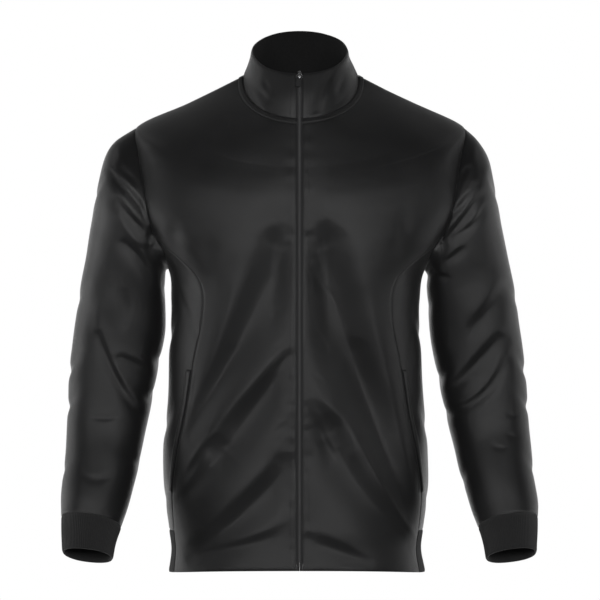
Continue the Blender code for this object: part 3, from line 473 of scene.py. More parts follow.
def sunk(folds, across, height, facing):
    """How far the folds of one view push each point in."""
    total = np.zeros(across.shape)
    t = np.linspace(0, 1, FOLD_STEPS + 1)
    shares = (2 * t - 1) * (t - 1), 4 * t * (1 - t), t * (2 * t - 1)
    for i in range(len(folds["depth"])):
        x = sum(share * folds[name][i] for share, name in zip(shares, ("x0", "x1", "x2")))
        z = sum(share * folds[name][i] for share, name in zip(shares, ("z0", "z1", "z2")))
        start, end, steep = folds["start"][i], folds["end"][i], folds["steep"][i]
        widest = max(start, end)
        reach = (1 + FOLD_REACH * GENTLE) * widest
        near = (across > x.min() - reach) & (across < x.max() + reach) & (facing > 0)
        near &= (height > z.min() - reach) & (height < z.max() + reach)
        if not near.any():
            continue
        step_x, step_z = np.diff(x), np.diff(z)
        from_x, from_z = across[near][:, None] - x[:-1], height[near][:, None] - z[:-1]
        run = np.clip((from_x * step_x + from_z * step_z) / (step_x**2 + step_z**2), 0, 1)
        off_x, off_z = from_x - run * step_x, from_z - run * step_z
        apart = np.hypot(off_x, off_z)
        which = apart.argmin(axis=1)
        row = np.arange(len(which))
        along = (which + run[row, which]) / FOLD_STEPS
        hand = step_x[which] * off_z[row, which] - step_z[which] * off_x[row, which]
        hand = steep * hand / np.maximum(np.hypot(step_x, step_z)[which] * apart[row, which], 1e-6)
        width = start + (end - start) * along
        off = apart[row, which] / width
        fade = np.sin(np.pi * (FOLD_END + (1 - 2 * FOLD_END) * along)) ** FOLD_FADE
        trough = np.exp(-(off**2))
        if steep:
            drop = LIP - off**FALL
            ridge = -RIDGE * np.exp(-((np.maximum(off - 1, 0) / GENTLE) ** 2))
            cliff = 0.5 * (drop + ridge + np.sqrt((drop - ridge) ** 2 + SHOULDER**2))
            share = np.clip(0.5 + hand, 0, 1)
            trough = share * cliff + (1 - share) * LIP * np.exp(-((off / GENTLE) ** 2))
        total[near] += folds["depth"][i] * (trough * (width / widest * fade))
    return total * np.clip(facing, 0, 1)


def unevenness(points, seed, wave, height):
    """A gentle swell of the cloth, so that no stretch of it is perfectly even."""
    rng = np.random.default_rng(seed)
    total = np.zeros(points.shape[:-1])
    for _ in range(SWELLS):
        direction = unit(rng.normal(size=3))
        period = wave * rng.uniform(0.6, 1.6)
        total += np.sin(2 * np.pi * (points @ direction) / period + rng.uniform(0, 2 * np.pi))
    return height * total / SWELL_SPREAD


def levels(start, end, rows, ends):
    """Evenly spaced values with closer ones next to an end that rolls into a seam."""
    more = [
        place + step * close * share
        for place, step, close in ((start, 1, ends[0]), (end, -1, ends[1])) if close
        for share in SEAM_SHARES
    ]
    return np.unique(np.concatenate([np.linspace(start, end, rows + 1), more]))


def shares(run, spacing, whole=1):
    """Levels from 0 to the whole for a stretch that is about this many millimetres long."""
    return levels(0, whole, round(run / spacing), (spacing * whole / run,) * 2)


def body_levels(spacing):
    """Heights of the rows of the body: hem rib, side seam, armhole and shoulder."""
    rows = lambda length: max(2, round(length / spacing))
    rib = levels(HEM, RIB_SEAM, rows(RIB_SEAM - HEM), (spacing, 0))
    side = levels(RIB_SEAM, SIDE_SEAM_TOP, rows(SIDE_SEAM_TOP - RIB_SEAM), (spacing, spacing))
    share = np.linspace(1, 0, rows(ARMHOLE_RUN) + 1) ** 1.2  # closer towards the shoulder
    hole = SHOULDER_POINT - (SHOULDER_POINT - SIDE_SEAM_TOP) * share
    yoke = levels(SHOULDER_POINT, NECK, rows(YOKE_RUN), (0, 0.6 * spacing))
    band = np.linspace(NECK - BAND_REACH, NECK, BAND_ROWS)
    return rib, side, hole, np.unique(np.concatenate([yoke, band]))


def side_grid(side, spacing):
    """Angles and heights of a side panel, whose top edge dips to the armpit."""
    share = shares(SIDE_RUN, spacing)
    top = ARMPIT + (SIDE_SEAM_TOP - ARMPIT) * np.abs(2 * share - 1) ** 2.2
    run = (body_levels(spacing)[1] - RIB_SEAM) / (SIDE_SEAM_TOP - RIB_SEAM)
    height = RIB_SEAM + run[:, None] * (top - RIB_SEAM)
    front, back = edge_angle(height, side), edge_angle(height, side, back=True)
    spread = 0.5 + 0.5 * np.sign(share - 0.5) * np.abs(2 * share - 1) ** 1.5
    return front + (back - front) * spread, height


def armhole(side, spacing):
    """The armhole seam: angles and heights from the shoulder point down the front and up the back."""
    angle, height = side_grid(side, spacing)
    up = body_levels(spacing)[2]
    down = up[::-1]
    angles = [edge_angle(down, side), angle[-1, 1:-1], edge_angle(up[:-1], side, back=True)]
    return np.concatenate(angles), np.concatenate([down, height[-1, 1:-1], up[:-1]])


def sleeve_frame(tab, at, side):
    """Middle, long half axis and depth half axis of the sleeve's sections."""
    closer = curve(tab, "closer", at) if side > 0 else 0 * at
    outer = [side * (curve(tab, "outer_x", at) - closer), 0 * at, curve(tab, "outer_z", at)]
    inner = [side * (curve(tab, "inner_x", at) - closer), 0 * at, curve(tab, "inner_z", at)]
    outer, inner = np.stack(outer, axis=-1), np.stack(inner, axis=-1)
    front, back = curve(tab, "front_y", at), curve(tab, "back_y", at)
    middle = (outer + inner) / 2 + np.stack([0 * at, (front + back) / 2, 0 * at], axis=-1)
    depth = np.stack([0 * at, (front - back) / 2, curve(tab, "lean", at)], axis=-1)
    return middle, (outer - inner) / 2, depth


def sleeve_section(tab, at, turn, side):
    """Points of the sleeve at angles round its sections: 0 is outermost, 90 foremost."""
    at, turn = np.broadcast_arrays(np.asarray(at, float), np.asarray(turn, float))
    middle, length, depth = sleeve_frame(tab, at, side)
    power = (2 / curve(tab, "round", at))[..., None]
    cosine, sine = np.cos(np.radians(turn))[..., None], np.sin(np.radians(turn))[..., None]
    cosine = np.sign(cosine) * np.abs(cosine) ** power
    sine = np.sign(sine) * np.abs(sine) ** power
    return middle + length * cosine + depth * sine


def armhole_turns(side, spacing):
    """Angle round the sleeve at which each point of the armhole seam lies."""
    points = ring_points(BODY, *armhole(side, spacing))
    middle, length, depth = sleeve_frame(SLEEVE, np.zeros(len(points)), side)
    offset = points - middle
    cosine = (offset * length).sum(axis=-1) / (length**2).sum(axis=-1)
    sine = (offset * depth).sum(axis=-1) / (depth**2).sum(axis=-1)
    return np.degrees(np.arctan2(sine, cosine)) % 360


def sleeve_points(at, side, spacing):
    """The sleeve's smooth outer surface, a row of points for each place along it."""
    seam = ring_points(BODY, *armhole(side, spacing))
    turns = armhole_turns(side, spacing)
    at = np.asarray(at, float)[:, None]
    rest = seam - sleeve_section(SLEEVE, 0.0, turns, side)
    fade = np.clip(1 - at / SLEEVE_EASE, 0, 1)[..., None] ** 2
    return sleeve_section(SLEEVE, at, turns, side) + rest * fade


def tube_normals(points, side):
    """Outward normals of rows of points round a tube."""
    around = np.roll(points, -1, axis=1) - np.roll(points, 1, axis=1)
    return unit(np.cross(around, np.gradient(points, axis=0))) * side


def in_plane_normals(loop):
    """Outward directions of a flat loop of points, within its plane."""
    middle = loop.mean(axis=0)
    around = np.roll(loop, -1, axis=0) - np.roll(loop, 1, axis=0)
    axis = unit(np.cross(around, loop - middle).sum(axis=0))
    normals = unit(np.cross(around, axis))
    return normals * np.sign((normals * (loop - middle)).sum(axis=-1, keepdims=True))


def armhole_normals(side, spacing):
    """Wall directions along the armhole seam, shared by the panels and the sleeve."""
    angle, height = armhole(side, spacing)
    seam = ring_points(BODY, angle, height)
    body = ring_normals(BODY, angle, height)
    along = np.roll(seam, -1, axis=0) - np.roll(seam, 1, axis=0)
    toward = unit(np.cross(body, along))
    onward = sleeve_points([0.0, SLEEVE_START], side, spacing)
    onward = unit(onward[1] - onward[0])
    toward *= np.sign((toward * [side, 0, -0.2]).sum(axis=-1, keepdims=True))
    normals = unit(np.cross(along, toward + onward))
    return normals * np.sign((normals * body).sum(axis=-1, keepdims=True))


def neck_normals(theta):
    """Wall directions along the neck seam, shared by the panels, the collar and the zip."""
    seam = ring_points(BODY, theta, NECK)
    body = ring_normals(BODY, theta, NECK)
    along = ring_points(BODY, theta + 0.5, NECK) - ring_points(BODY, theta - 0.5, NECK)
    toward = unit(np.cross(along, body))
    toward *= np.sign(toward[..., 2:])
    onward = unit(ring_points(COLLAR, theta, 0.2) - seam)
    normals = unit(np.cross(along, toward + onward))
    return normals * np.sign((normals * body).sum(axis=-1, keepdims=True))


def neck_band(theta, height):
    """How far the band sewn down under the collar stands up, with a dip at its lower edge."""
    raised = np.zeros(np.broadcast(theta, height).shape)
    theta, height = theta + raised, height + raised
    near = height > NECK - 14
    if near.any():
        at_neck = ring_points(BODY, theta[near], NECK + 0 * height[near])
        lower = ring_points(BODY, theta[near], NECK - 2 + 0 * height[near])
        down = (NECK - height[near]) * np.linalg.norm(lower - at_neck, axis=-1) / 2
        raised[near] = eased((down - 0.6) / 1.6) - eased((down - 6.6) / 1.5)
        raised[near] -= 0.4 * np.exp(-((down - 8.4) ** 2))
    return raised


def body_surface(theta, height):
    """The body's cloth surface with its folds, and its wall directions."""
    points, normals = ring_points(BODY, theta, height), ring_normals(BODY, theta, height)
    x, y, z = points[..., 0], points[..., 1], points[..., 2]
    from_zip = np.abs(x) - ZIP_HALF
    calm = eased(from_zip / CALM_REACH)
    depth = sunk(BODY_FRONT, x, z, -normals[..., 1]) * (CALM_SHARE + (1 - CALM_SHARE) * calm)
    depth += curve(DRAPE, "sunk", z) * np.clip(-normals[..., 1], 0, 1)
    depth += sunk(BODY_BACK, x, z, normals[..., 1])
    depth += sunk(SIDE_OUTER, y, z, normals[..., 0]) + sunk(SIDE_OUTER, y, z, -normals[..., 0])
    depth += unevenness(points, 3, 95.0, 0.5)
    ripple = np.sin(z / 3.1 + 2 * np.sin(z / 37)) + 0.8 * np.sin(z / 4.7 + 1.3 * np.sign(x))
    at_front = (y < 0) * np.exp(-((from_zip / PUCKER_REACH - 1) ** 2))
    depth += PUCKER * ripple * at_front - neck_band(theta, height)
    return points - normals * depth[..., None], normals


def collar_surface(theta, rise):
    """The collar's cloth surface with its folds, and its wall directions."""
    points, normals = ring_points(COLLAR, theta, rise), ring_normals(COLLAR, theta, rise)
    x, z = points[..., 0], points[..., 2]
    depth = sunk(COLLAR_FRONT, x, z, -normals[..., 1]) + sunk(COLLAR_BACK, x, z, normals[..., 1])
    depth += unevenness(points, 5, 60.0, 0.3)
    return points - normals * depth[..., None], normals


def rolled(points, normals, borders, roll, reach=ROLL_REACH):
    """The cloth sinks towards the borders of its grid that are seams or folded edges."""
    columns = np.linalg.norm(np.diff(points, axis=1), axis=-1)
    rows = np.linalg.norm(np.diff(points, axis=0), axis=-1)
    from_left = np.pad(np.cumsum(columns, axis=1), ((0, 0), (1, 0)))
    from_low = np.pad(np.cumsum(rows, axis=0), ((1, 0), (0, 0)))
    away = {
        "first_column": from_left,
        "last_column": from_left[:, -1:] - from_left,
        "first_row": from_low,
        "last_row": from_low[-1:] - from_low,
    }
    sink = np.zeros(points.shape[:-1])
    for border in borders:
        sink = np.maximum(sink, np.exp(-((away[border] / reach) ** 2)))
    return points - normals * (roll * sink)[..., None]


def leaning(normals, points, border, edge):
    """Wall directions that turn towards those of a seam as the cloth nears it."""
    seam = {
        "first_row": points[:1], "last_row": points[-1:],
        "first_column": points[:, :1], "last_column": points[:, -1:],
    }[edge]
    border = border[:, None] if "column" in edge else border
    away = np.linalg.norm(points - seam, axis=-1)[..., None]
    return unit(normals + (border - normals) * np.exp(-away / SEAM_REACH))


def running(points, axis):
    """Distance run along the mean of the grid's rows or columns, in metres."""
    steps = np.linalg.norm(np.diff(points, axis=axis), axis=-1).mean(axis=1 - axis)
    return np.concatenate([[0.0], np.cumsum(steps)]) * MM


def grid_faces(rows, columns, closed, first, flip):
    """Corner numbers of a grid's faces, and the row and column of each corner for its pattern."""
    across = columns if closed else columns - 1
    r, c = np.meshgrid(np.arange(rows - 1), np.arange(across), indexing="ij")
    r, c = r.ravel(), c.ravel()
    row = np.stack([r, r, r + 1, r + 1], axis=1)
    column = np.stack([c, c + 1, c + 1, c], axis=1)
    if flip:
        row, column = row[:, ::-1], column[:, ::-1]
    return first + row * columns + column % columns, row, column


def shell(name, outer, inner, closed=False, step=1):
    """A closed wall between two grids of points, with a pattern map in metres of cloth.

    The inner grid may hold only every step-th column. The second value marks the inner faces.
    """
    rows, columns = outer.shape[:2]
    inner_columns = inner.shape[1]
    first = rows * columns
    out_faces, out_row, out_column = grid_faces(rows, columns, closed, 0, False)
    in_faces, in_row, in_column = grid_faces(rows, inner_columns, closed, first, True)
    quads = [out_faces, in_faces]
    places = [(out_row, out_column), (in_row, in_column * step)]
    if not closed:
        r = np.arange(rows - 1)
        left = np.stack([r, r + 1], axis=1)
        for column, inner_column, turned in ((0, 0, False), (columns - 1, inner_columns - 1, True)):
            face = np.stack([
                left[:, 0] * columns + column, left[:, 1] * columns + column,
                first + left[:, 1] * inner_columns + inner_column,
                first + left[:, 0] * inner_columns + inner_column,
            ], axis=1)
            row = np.stack([left[:, 0], left[:, 1], left[:, 1], left[:, 0]], axis=1)
            quads.append(face[:, ::-1] if turned else face)
            places.append((row[:, ::-1] if turned else row, np.full_like(row, column)))
    triangles = []
    middle = (step + 1) // 2
    for r in (0, rows - 1):
        outer_row, inner_row = r * columns, first + r * inner_columns
        for c in range(inner_columns if closed else inner_columns - 1):
            hubs = inner_row + c, inner_row + (c + 1) % inner_columns
            fans = []
            for a in range(c * step, (c + 1) * step):
                far = a - c * step >= middle
                corners = [outer_row + a % columns, outer_row + (a + 1) % columns, hubs[far]]
                fans.append((corners, [a, a + 1, (c + far) * step]))
            a = c * step + middle
            fans.append(([outer_row + a % columns, hubs[1], hubs[0]], [a, (c + 1) * step, c * step]))
            for corners, at in fans:
                turned = slice(None, None, 1 if r else -1)
                triangles.append(corners[turned])
                places.append(([r] * 3, at[turned]))
    u, v = running(outer, 1), running(outer, 0)
    if closed:
        u = np.append(u, u[-1] + u[1])
    quads = np.concatenate(quads)
    row, column = (np.concatenate([np.ravel(place[k]) for place in places]) for k in (0, 1))
    mesh = bpy.data.meshes.new(name)
    vertices = np.concatenate([outer.reshape(-1, 3), inner.reshape(-1, 3)]) * MM
    mesh.from_pydata(vertices.tolist(), [], quads.tolist() + triangles)
    layer = mesh.uv_layers.new(name="cloth")
    layer.data.foreach_set("uv", np.stack([u[column], v[row]], axis=1).ravel())
    inside = np.zeros(len(mesh.polygons), int)
    inside[len(out_faces) : len(out_faces) + len(in_faces)] = 1
    return mesh, inside


def outward(mesh):
    """Turns a mesh whose faces point inwards."""
    mesh.calc_loop_triangles()
    points = np.empty(3 * len(mesh.vertices))
    mesh.vertices.foreach_get("co", points)
    corners = np.empty(3 * len(mesh.loop_triangles), int)
    mesh.loop_triangles.foreach_get("vertices", corners)
    if np.linalg.det(points.reshape(-1, 3)[corners.reshape(-1, 3)]).sum() < 0:
        mesh.flip_normals()


def capsules(name, starts, ends, normals, radius, sides):
    """Many small rounded bars in one mesh: stitches, or the wires of a coil."""
    axis = unit(ends - starts)
    up = unit(normals - (normals * axis).sum(axis=-1, keepdims=True) * axis)
    over = np.cross(axis, up)
    turn = 2 * np.pi * np.arange(sides) / sides
    rings = []
    for place, size in ((0.0, 0.45), (0.16, 1.0), (0.84, 1.0), (1.0, 0.45)):
        centre = starts + (ends - starts) * place
        ring = centre[:, None] + size * radius * (
            np.cos(turn)[None, :, None] * over[:, None] + np.sin(turn)[None, :, None] * up[:, None]
        )
        rings.append(ring)
    points = np.stack(rings, axis=1).reshape(-1, 3) * MM
    one = []
    for k in range(3):
        for s in range(sides):
            t = (s + 1) % sides
            one.append([k * sides + s, k * sides + t, (k + 1) * sides + t, (k + 1) * sides + s])
    caps = [list(range(sides))[::-1], list(range(3 * sides, 4 * sides))]
    faces = []
    for i in range(len(starts)):
        shift = i * 4 * sides
        faces += [[shift + a for a in face] for face in one + caps]
    mesh = bpy.data.meshes.new(name)
    mesh.from_pydata(points.tolist(), [], faces)
    return mesh


def evenly(points, normals, pitch):
    """Places spaced evenly along a path, with their directions out."""
    run = np.concatenate([[0], np.cumsum(np.linalg.norm(np.diff(points, axis=0), axis=-1))])
    places = np.arange(0, run[-1], pitch)
    read = lambda values: np.stack([np.interp(places, run, values[:, k]) for k in range(3)], axis=1)
    return read(points), unit(read(normals))


def stitch_row(points, normals, sizes, lift):
    """Starts, ends and outward directions of the stitches along a path."""
    places, out = evenly(points, normals, sizes.pitch / MM)
    onward = unit(np.diff(places, axis=0))
    starts = places[:-1] + out[:-1] * lift
    return starts, starts + onward * (sizes.stitch / MM), out[:-1]


def node_material(name, colour, roughness, metallic=0.0):
    """A new material with its Principled shader, nodes and links."""
    material = bpy.data.materials.new(name)
    material.use_nodes = True
    nodes, links = material.node_tree.nodes, material.node_tree.links
    shader = nodes["Principled BSDF"]
    shader.inputs["Base Color"].default_value = (*colour, 1.0)
    shader.inputs["Roughness"].default_value = roughness
    shader.inputs["Metallic"].default_value = metallic
    return material, nodes, links, shader


def maths(nodes, links, operation, first, second=None):
    """A Math node fed by sockets or numbers."""
    node = nodes.new("ShaderNodeMath")
    node.operation = operation
    for socket, value in zip(node.inputs, (first, second)):
        if value is None:
            continue
        if isinstance(value, (int, float)):
            socket.default_value = value
        else:
            links.new(value, socket)
    return node.outputs[0]


def noise(nodes, links, coordinates, scale, detail=3.0):
    """Noise over the given coordinates."""
    node = nodes.new("ShaderNodeTexNoise")
    node.inputs["Scale"].default_value = scale
    node.inputs["Detail"].default_value = detail
    links.new(coordinates, node.inputs["Vector"])
    return node.outputs["Fac"]


def mottled(nodes, links, value, colour, spread):
    """A colour that wanders a little lighter and darker."""
    ramp = nodes.new("ShaderNodeValToRGB")
    low, high = ramp.color_ramp.elements
    low.position, high.position = 0.3, 0.7
    low.color = (*[c * (1 - spread) for c in colour], 1)
    high.color = (*[c * (1 + spread) for c in colour], 1)
    links.new(value, ramp.inputs["Fac"])
    return ramp.outputs["Color"]


def bumped(nodes, links, shader, height, distance, strength, under=None):
    """A bump on the shader, over another one if given."""
    bump = nodes.new("ShaderNodeBump")
    bump.inputs["Distance"].default_value = distance
    bump.inputs["Strength"].default_value = strength
    links.new(height, bump.inputs["Height"])
    if under:
        links.new(under, bump.inputs["Normal"])
    links.new(bump.outputs["Normal"], shader.inputs["Normal"])
    return bump.outputs["Normal"]


def ranged(nodes, links, value, low, high, start_end=(0.0, 1.0), kind="LINEAR"):
    """A value brought from one range to another."""
    node = nodes.new("ShaderNodeMapRange")
    node.interpolation_type = kind
    names = "From Min", "From Max", "To Min", "To Max"
    for socket, number in zip(names, (*start_end, low, high)):
        node.inputs[socket].default_value = number
    links.new(value, node.inputs["Value"])
    return node.outputs["Result"]


def sheen(shader, specular, weight, roughness):
    """Constant gloss and sheen of a cloth."""
    shader.inputs["Specular IOR Level"].default_value = specular
    shader.inputs["Sheen Weight"].default_value = weight
    shader.inputs["Sheen Roughness"].default_value = roughness


def knit_height(nodes, links, wale, course):
    """Height of a plain knit face: columns of slanting loops, in metres of cloth."""
    uv = nodes.new("ShaderNodeUVMap")
    uv.uv_map = "cloth"
    split = nodes.new("ShaderNodeSeparateXYZ")
    links.new(uv.outputs["UV"], split.inputs[0])
    column = maths(nodes, links, "MULTIPLY", split.outputs["X"], math.pi / wale)
    lobes = maths(nodes, links, "ABSOLUTE", maths(nodes, links, "SINE", column))
    slant = maths(nodes, links, "MULTIPLY", lobes, 1.6)
    row = maths(nodes, links, "MULTIPLY", split.outputs["Y"], 2 * math.pi / course)
    rows = maths(nodes, links, "SINE", maths(nodes, links, "ADD", row, slant))
    return maths(nodes, links, "ADD", lobes, maths(nodes, links, "MULTIPLY", rows, 0.5))


def satin_material(name, colour):
    """Satin-faced double knit: fine wales, a soft sheen and a little mottling."""
    _, nodes, links, shader = node_material(name, colour, 0.5)
    place = nodes.new("ShaderNodeTexCoord").outputs["Object"]
    broad, grain = noise(nodes, links, place, 14.0, 4.0), noise(nodes, links, place, 620.0, 2.0)
    links.new(mottled(nodes, links, broad, colour, 0.10), shader.inputs["Base Color"])
    links.new(ranged(nodes, links, grain, 0.29, 0.39), shader.inputs["Roughness"])
    sheen(shader, 0.5, 0.12, 0.4)
    first = bumped(nodes, links, shader, grain, 0.00035, 0.35)
    bumped(nodes, links, shader, knit_height(nodes, links, 0.00072, 0.0006), 0.00009, 0.5, first)


def rib_material(name, colour, gloss):
    """Matte knit, of the ribs and of the satin's wrong side: fuzz over courses of loops."""
    _, nodes, links, shader = node_material(name, colour, 0.85)
    place = nodes.new("ShaderNodeTexCoord").outputs["Object"]
    fuzz = noise(nodes, links, place, 900.0, 3.0)
    links.new(mottled(nodes, links, fuzz, colour, 0.35), shader.inputs["Base Color"])
    sheen(shader, gloss, 0.8 * gloss, 0.6)
    first = bumped(nodes, links, shader, fuzz, 0.0005, 0.5)
    bumped(nodes, links, shader, knit_height(nodes, links, 0.0013, 0.0011), 0.0002, 0.5, first)


def tape_material(name, colour):
    """Woven polyester tape of fine cords."""
    _, nodes, links, shader = node_material(name, colour, 0.6)
    place = nodes.new("ShaderNodeTexCoord").outputs["Object"]
    fuzz = noise(nodes, links, place, 1500.0, 2.0)
    links.new(mottled(nodes, links, fuzz, colour, 0.3), shader.inputs["Base Color"])
    shader.inputs["Specular IOR Level"].default_value = 0.4
    bumped(nodes, links, shader, knit_height(nodes, links, 0.0006, 0.0009), 0.00015, 0.6)


def plain_material(name, colour, roughness, metallic, grain, depth, spread):
    """Thread, nylon, metal or moulded plastic: a grain in its colour, gloss and surface."""
    _, nodes, links, shader = node_material(name, colour, roughness, metallic)
    place = nodes.new("ShaderNodeTexCoord").outputs["Object"]
    fine = noise(nodes, links, place, grain, 4.0)
    links.new(mottled(nodes, links, fine, colour, spread), shader.inputs["Base Color"])
    rough = ranged(nodes, links, fine, roughness * 0.8, min(1.0, roughness * 1.25))
    links.new(rough, shader.inputs["Roughness"])
    bumped(nodes, links, shader, fine, depth, 0.4)


# Finishes: material name, the function that makes it and that function's other values. The last
# three of a plain one are the scale of its grain, the depth of it and its spread of colour.
FINISHES = {
    "satin": ("satin_knit_cloth", satin_material),
    "lining": ("satin_knit_wrong_side", rib_material, 0.12),
    "rib": ("rib_knit_cloth", rib_material, 0.3),
    "tape": ("zip_tape_cloth", tape_material),
    "thread": ("sewing_thread", plain_material, 0.5, 0.0, 2500.0, 0.0001, 0.2),
    # The coil's light grey is partly painted highlight, standing in for the glints on its teeth
    "coil": ("nylon_coil", plain_material, 0.22, 0.0, 900.0, 0.00005, 0.2),
    "silver": ("silvered_zinc", plain_material, 0.2, 1.0, 700.0, 0.00004, 0.08),
    "pull": ("pull_plastic_black", plain_material, 0.42, 0.0, 1200.0, 0.00008, 0.15),
}


def cloth(finish):
    """The material of a finish, made the first time it is asked for."""
    name, make, *values = FINISHES[finish]
    if name not in bpy.data.materials:
        make(name, tuple(getattr(bpy.context.scene.sweatshirt_finishes, finish)), *values)
    return bpy.data.materials[name]


# The cloth pieces: name, the solid that each replaces, its finish, and the width, length and area
# of the flat cut that shows, in metres
PIECES = {
    "front": ("front_cloth", "front", "satin", 0.196, 0.730, 0.129),
    "side": ("side_cloth", "side", "satin", 0.183, 0.408, 0.0675),
    "back": ("back_cloth", "back", "satin", 0.360, 0.728, 0.246),
    "sleeve": ("sleeve_cloth", "sleeve", "satin", 0.422, 0.490, 0.182),
    "collar": ("collar_cloth", "collar", "satin", 0.478, 0.058, 0.0255),
    "cuff": ("cuff_rib", "cuff", "rib", 0.228, 0.052, 0.0114),
    "hem_rib": ("hem_rib_band", "hem_rib", "rib", 0.584, 0.062, 0.0350),
    "welt": ("welt_cloth", "pocket_welt", "satin", 0.0105, 0.182, 0.0017),
    "tape": ("tape", "zip", "tape", 0.0105, 0.710, 0.0047),
}
HANDS = {1: "_left", -1: "_right", 0: ""}
BORDERS = "first_row", "last_row", "first_column", "last_column"

# Rough sizes in millimetres that say how many rows or columns of points a piece gets
FRONT_RUN, BACK_RUN, SLEEVE_RUN, COLLAR_RUN, COLLAR_RISE = 225, 430, 600, 480, 72
RIB_ROWS, RIB_COLUMNS = 18, 6
RIB_SINK, RIB_SINK_REACH = 0.9, 1.5
CUFF_END, CUFF_LENGTH = 2, 48
WELT_THICKNESS, WELT_RAISED = 1.2, 1.7
TAPE_LINES = 0.1, 0.9, 1.8, 2.6, 3.4, 4.4, 5.4, 6.6
TAPE_BULGE = 0.25, 0.3, 0.3, 0.2, 0.05, 0, 0, 0
TOOTH_BACK, TOOTH_REACH, TOOTH_RAISED = 0.9, 2.1, 0.55
THREAD_LIFT = 0.1


def placed(name, mesh, finish):
    """Puts a finished mesh into the scene, riding on the garment."""
    mesh.update()
    outward(mesh)
    mesh.materials.append(cloth(finish))
    mesh.polygons.foreach_set("use_smooth", [True] * len(mesh.polygons))
    piece = bpy.data.objects.new(name, mesh)
    bpy.context.scene.collection.objects.link(piece)
    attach(piece, GARMENT)
    return piece


def sewn(kind, side, outer, normals, thickness, closed=False, ribs=None, step=1):
    """One sewn piece of cloth that stands for its solid."""
    name, node, finish, width, length, area = PIECES[kind]
    name, node = name + HANDS[side], node + HANDS[side]
    inner = (outer - normals * thickness)[:, ::step]
    if ribs is not None:
        outer = outer + normals * ribs[..., None]
    mesh, inside = shell(name, outer, inner, closed, step)
    piece = placed(name, mesh, finish)
    if finish == "satin":
        mesh.materials.append(cloth("lining"))
        mesh.polygons.foreach_set("material_index", inside)
    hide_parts(node)


def drawn(context):
    """Spacing of points, thickness and seam roll of the body cloth, in millimetres."""
    sizes = context.scene.sweatshirt_cloth
    return sizes.spacing / MM, sizes.cloth / MM, sizes.roll / MM


def panel(kind, side, points, normals, border, context, edge="last_row"):
    """Sews a satin piece that shares its wall directions with a border along one edge."""
    _, thickness, roll = drawn(context)
    normals = leaning(normals, points, border, edge)
    sewn(kind, side, rolled(points, normals, BORDERS, roll), normals, thickness)


def rib_heights(columns, height, from_end):
    """How far the ribs of a band stand up, sinking towards its two ends."""
    ribs = height * (0.5 - 0.5 * np.cos(2 * np.pi * np.arange(columns) / RIB_COLUMNS))
    return ribs - RIB_SINK * np.exp(-((from_end / RIB_SINK_REACH) ** 2))


def beside_seam(height, across, side):
    """The angle this far behind the front's side seam, in millimetres round the body."""
    start, end = edge_angle(height, side), edge_angle(height, side, back=True)
    return start + np.sign(end - start) * np.degrees(across / BODY_RADIUS)


def zip_path(across, side):
    """Points and directions out along a line beside the zip, from the hem to the collar's rim."""
    rows, rise = np.arange(HEM, NECK, 2.0), np.linspace(0, 1, 34)
    low = body_surface(across_angle(BODY, rows, across, side), rows)
    high = collar_surface(across_angle(COLLAR, rise, across, side), rise)
    return np.concatenate([low[0], high[0]]), np.concatenate([low[1], high[1]])


class SWEATSHIRT_OT_fronts(bpy.types.Operator):
    """The two fronts, from the zip to the side seams, armholes and shoulder seams"""

    bl_idname = "sweatshirt.fronts"
    bl_label = "Fronts"

    def execute(self, context):
        spacing = drawn(context)[0]
        rib, side_rows, hole, yoke = body_levels(spacing)
        height = np.concatenate([rib, side_rows[1:], hole[1:], yoke[1:]])[:, None]
        first = len(rib) + len(side_rows) - 2
        rows = slice(first, first + len(hole))
        for side in (1, -1):
            start, end = across_angle(BODY, height, ZIP_HALF, side), edge_angle(height, side)
            theta = start + (end - start) * shares(FRONT_RUN, spacing)
            points, normals = body_surface(theta, height + 0 * theta)
            seam = armhole_normals(side, spacing)[: len(hole)][::-1]
            normals[rows] = leaning(normals[rows], points[rows], seam, "last_column")
            panel("front", side, points, normals, neck_normals(theta[-1]), context)
        return {"FINISHED"}


class SWEATSHIRT_OT_sides(bpy.types.Operator):
    """The two side panels, from the hem rib to the underarm"""

    bl_idname = "sweatshirt.sides"
    bl_label = "Side panels"

    def execute(self, context):
        spacing = drawn(context)[0]
        hole_rows = len(body_levels(spacing)[2]) - 1
        for side in (1, -1):
            theta, height = side_grid(side, spacing)
            under = armhole_normals(side, spacing)[hole_rows : hole_rows + theta.shape[1]]
            panel("side", side, *body_surface(theta, height), under, context)
        return {"FINISHED"}


class SWEATSHIRT_OT_back(bpy.types.Operator):
    """The back, in one piece from side seam to side seam"""

    bl_idname = "sweatshirt.back"
    bl_label = "Back"

    def execute(self, context):
        spacing = drawn(context)[0]
        _, side_rows, hole, yoke = body_levels(spacing)
        height = np.concatenate([side_rows, hole[1:], yoke[1:]])[:, None]
        start, end = (edge_angle(height, side, back=True) for side in (1, -1))
        theta = start + (end - start) * shares(BACK_RUN, spacing)
        points, normals = body_surface(theta, height + 0 * theta)
        first = len(side_rows) - 1
        rows = slice(first, first + len(hole))
        for side, edge in ((1, "first_column"), (-1, "last_column")):
            seam = armhole_normals(side, spacing)
            seam = np.concatenate([seam[1 - len(hole) :], seam[:1]])
            normals[rows] = leaning(normals[rows], points[rows], seam, edge)
        panel("back", 0, points, normals, neck_normals(theta[-1]), context)
        return {"FINISHED"}


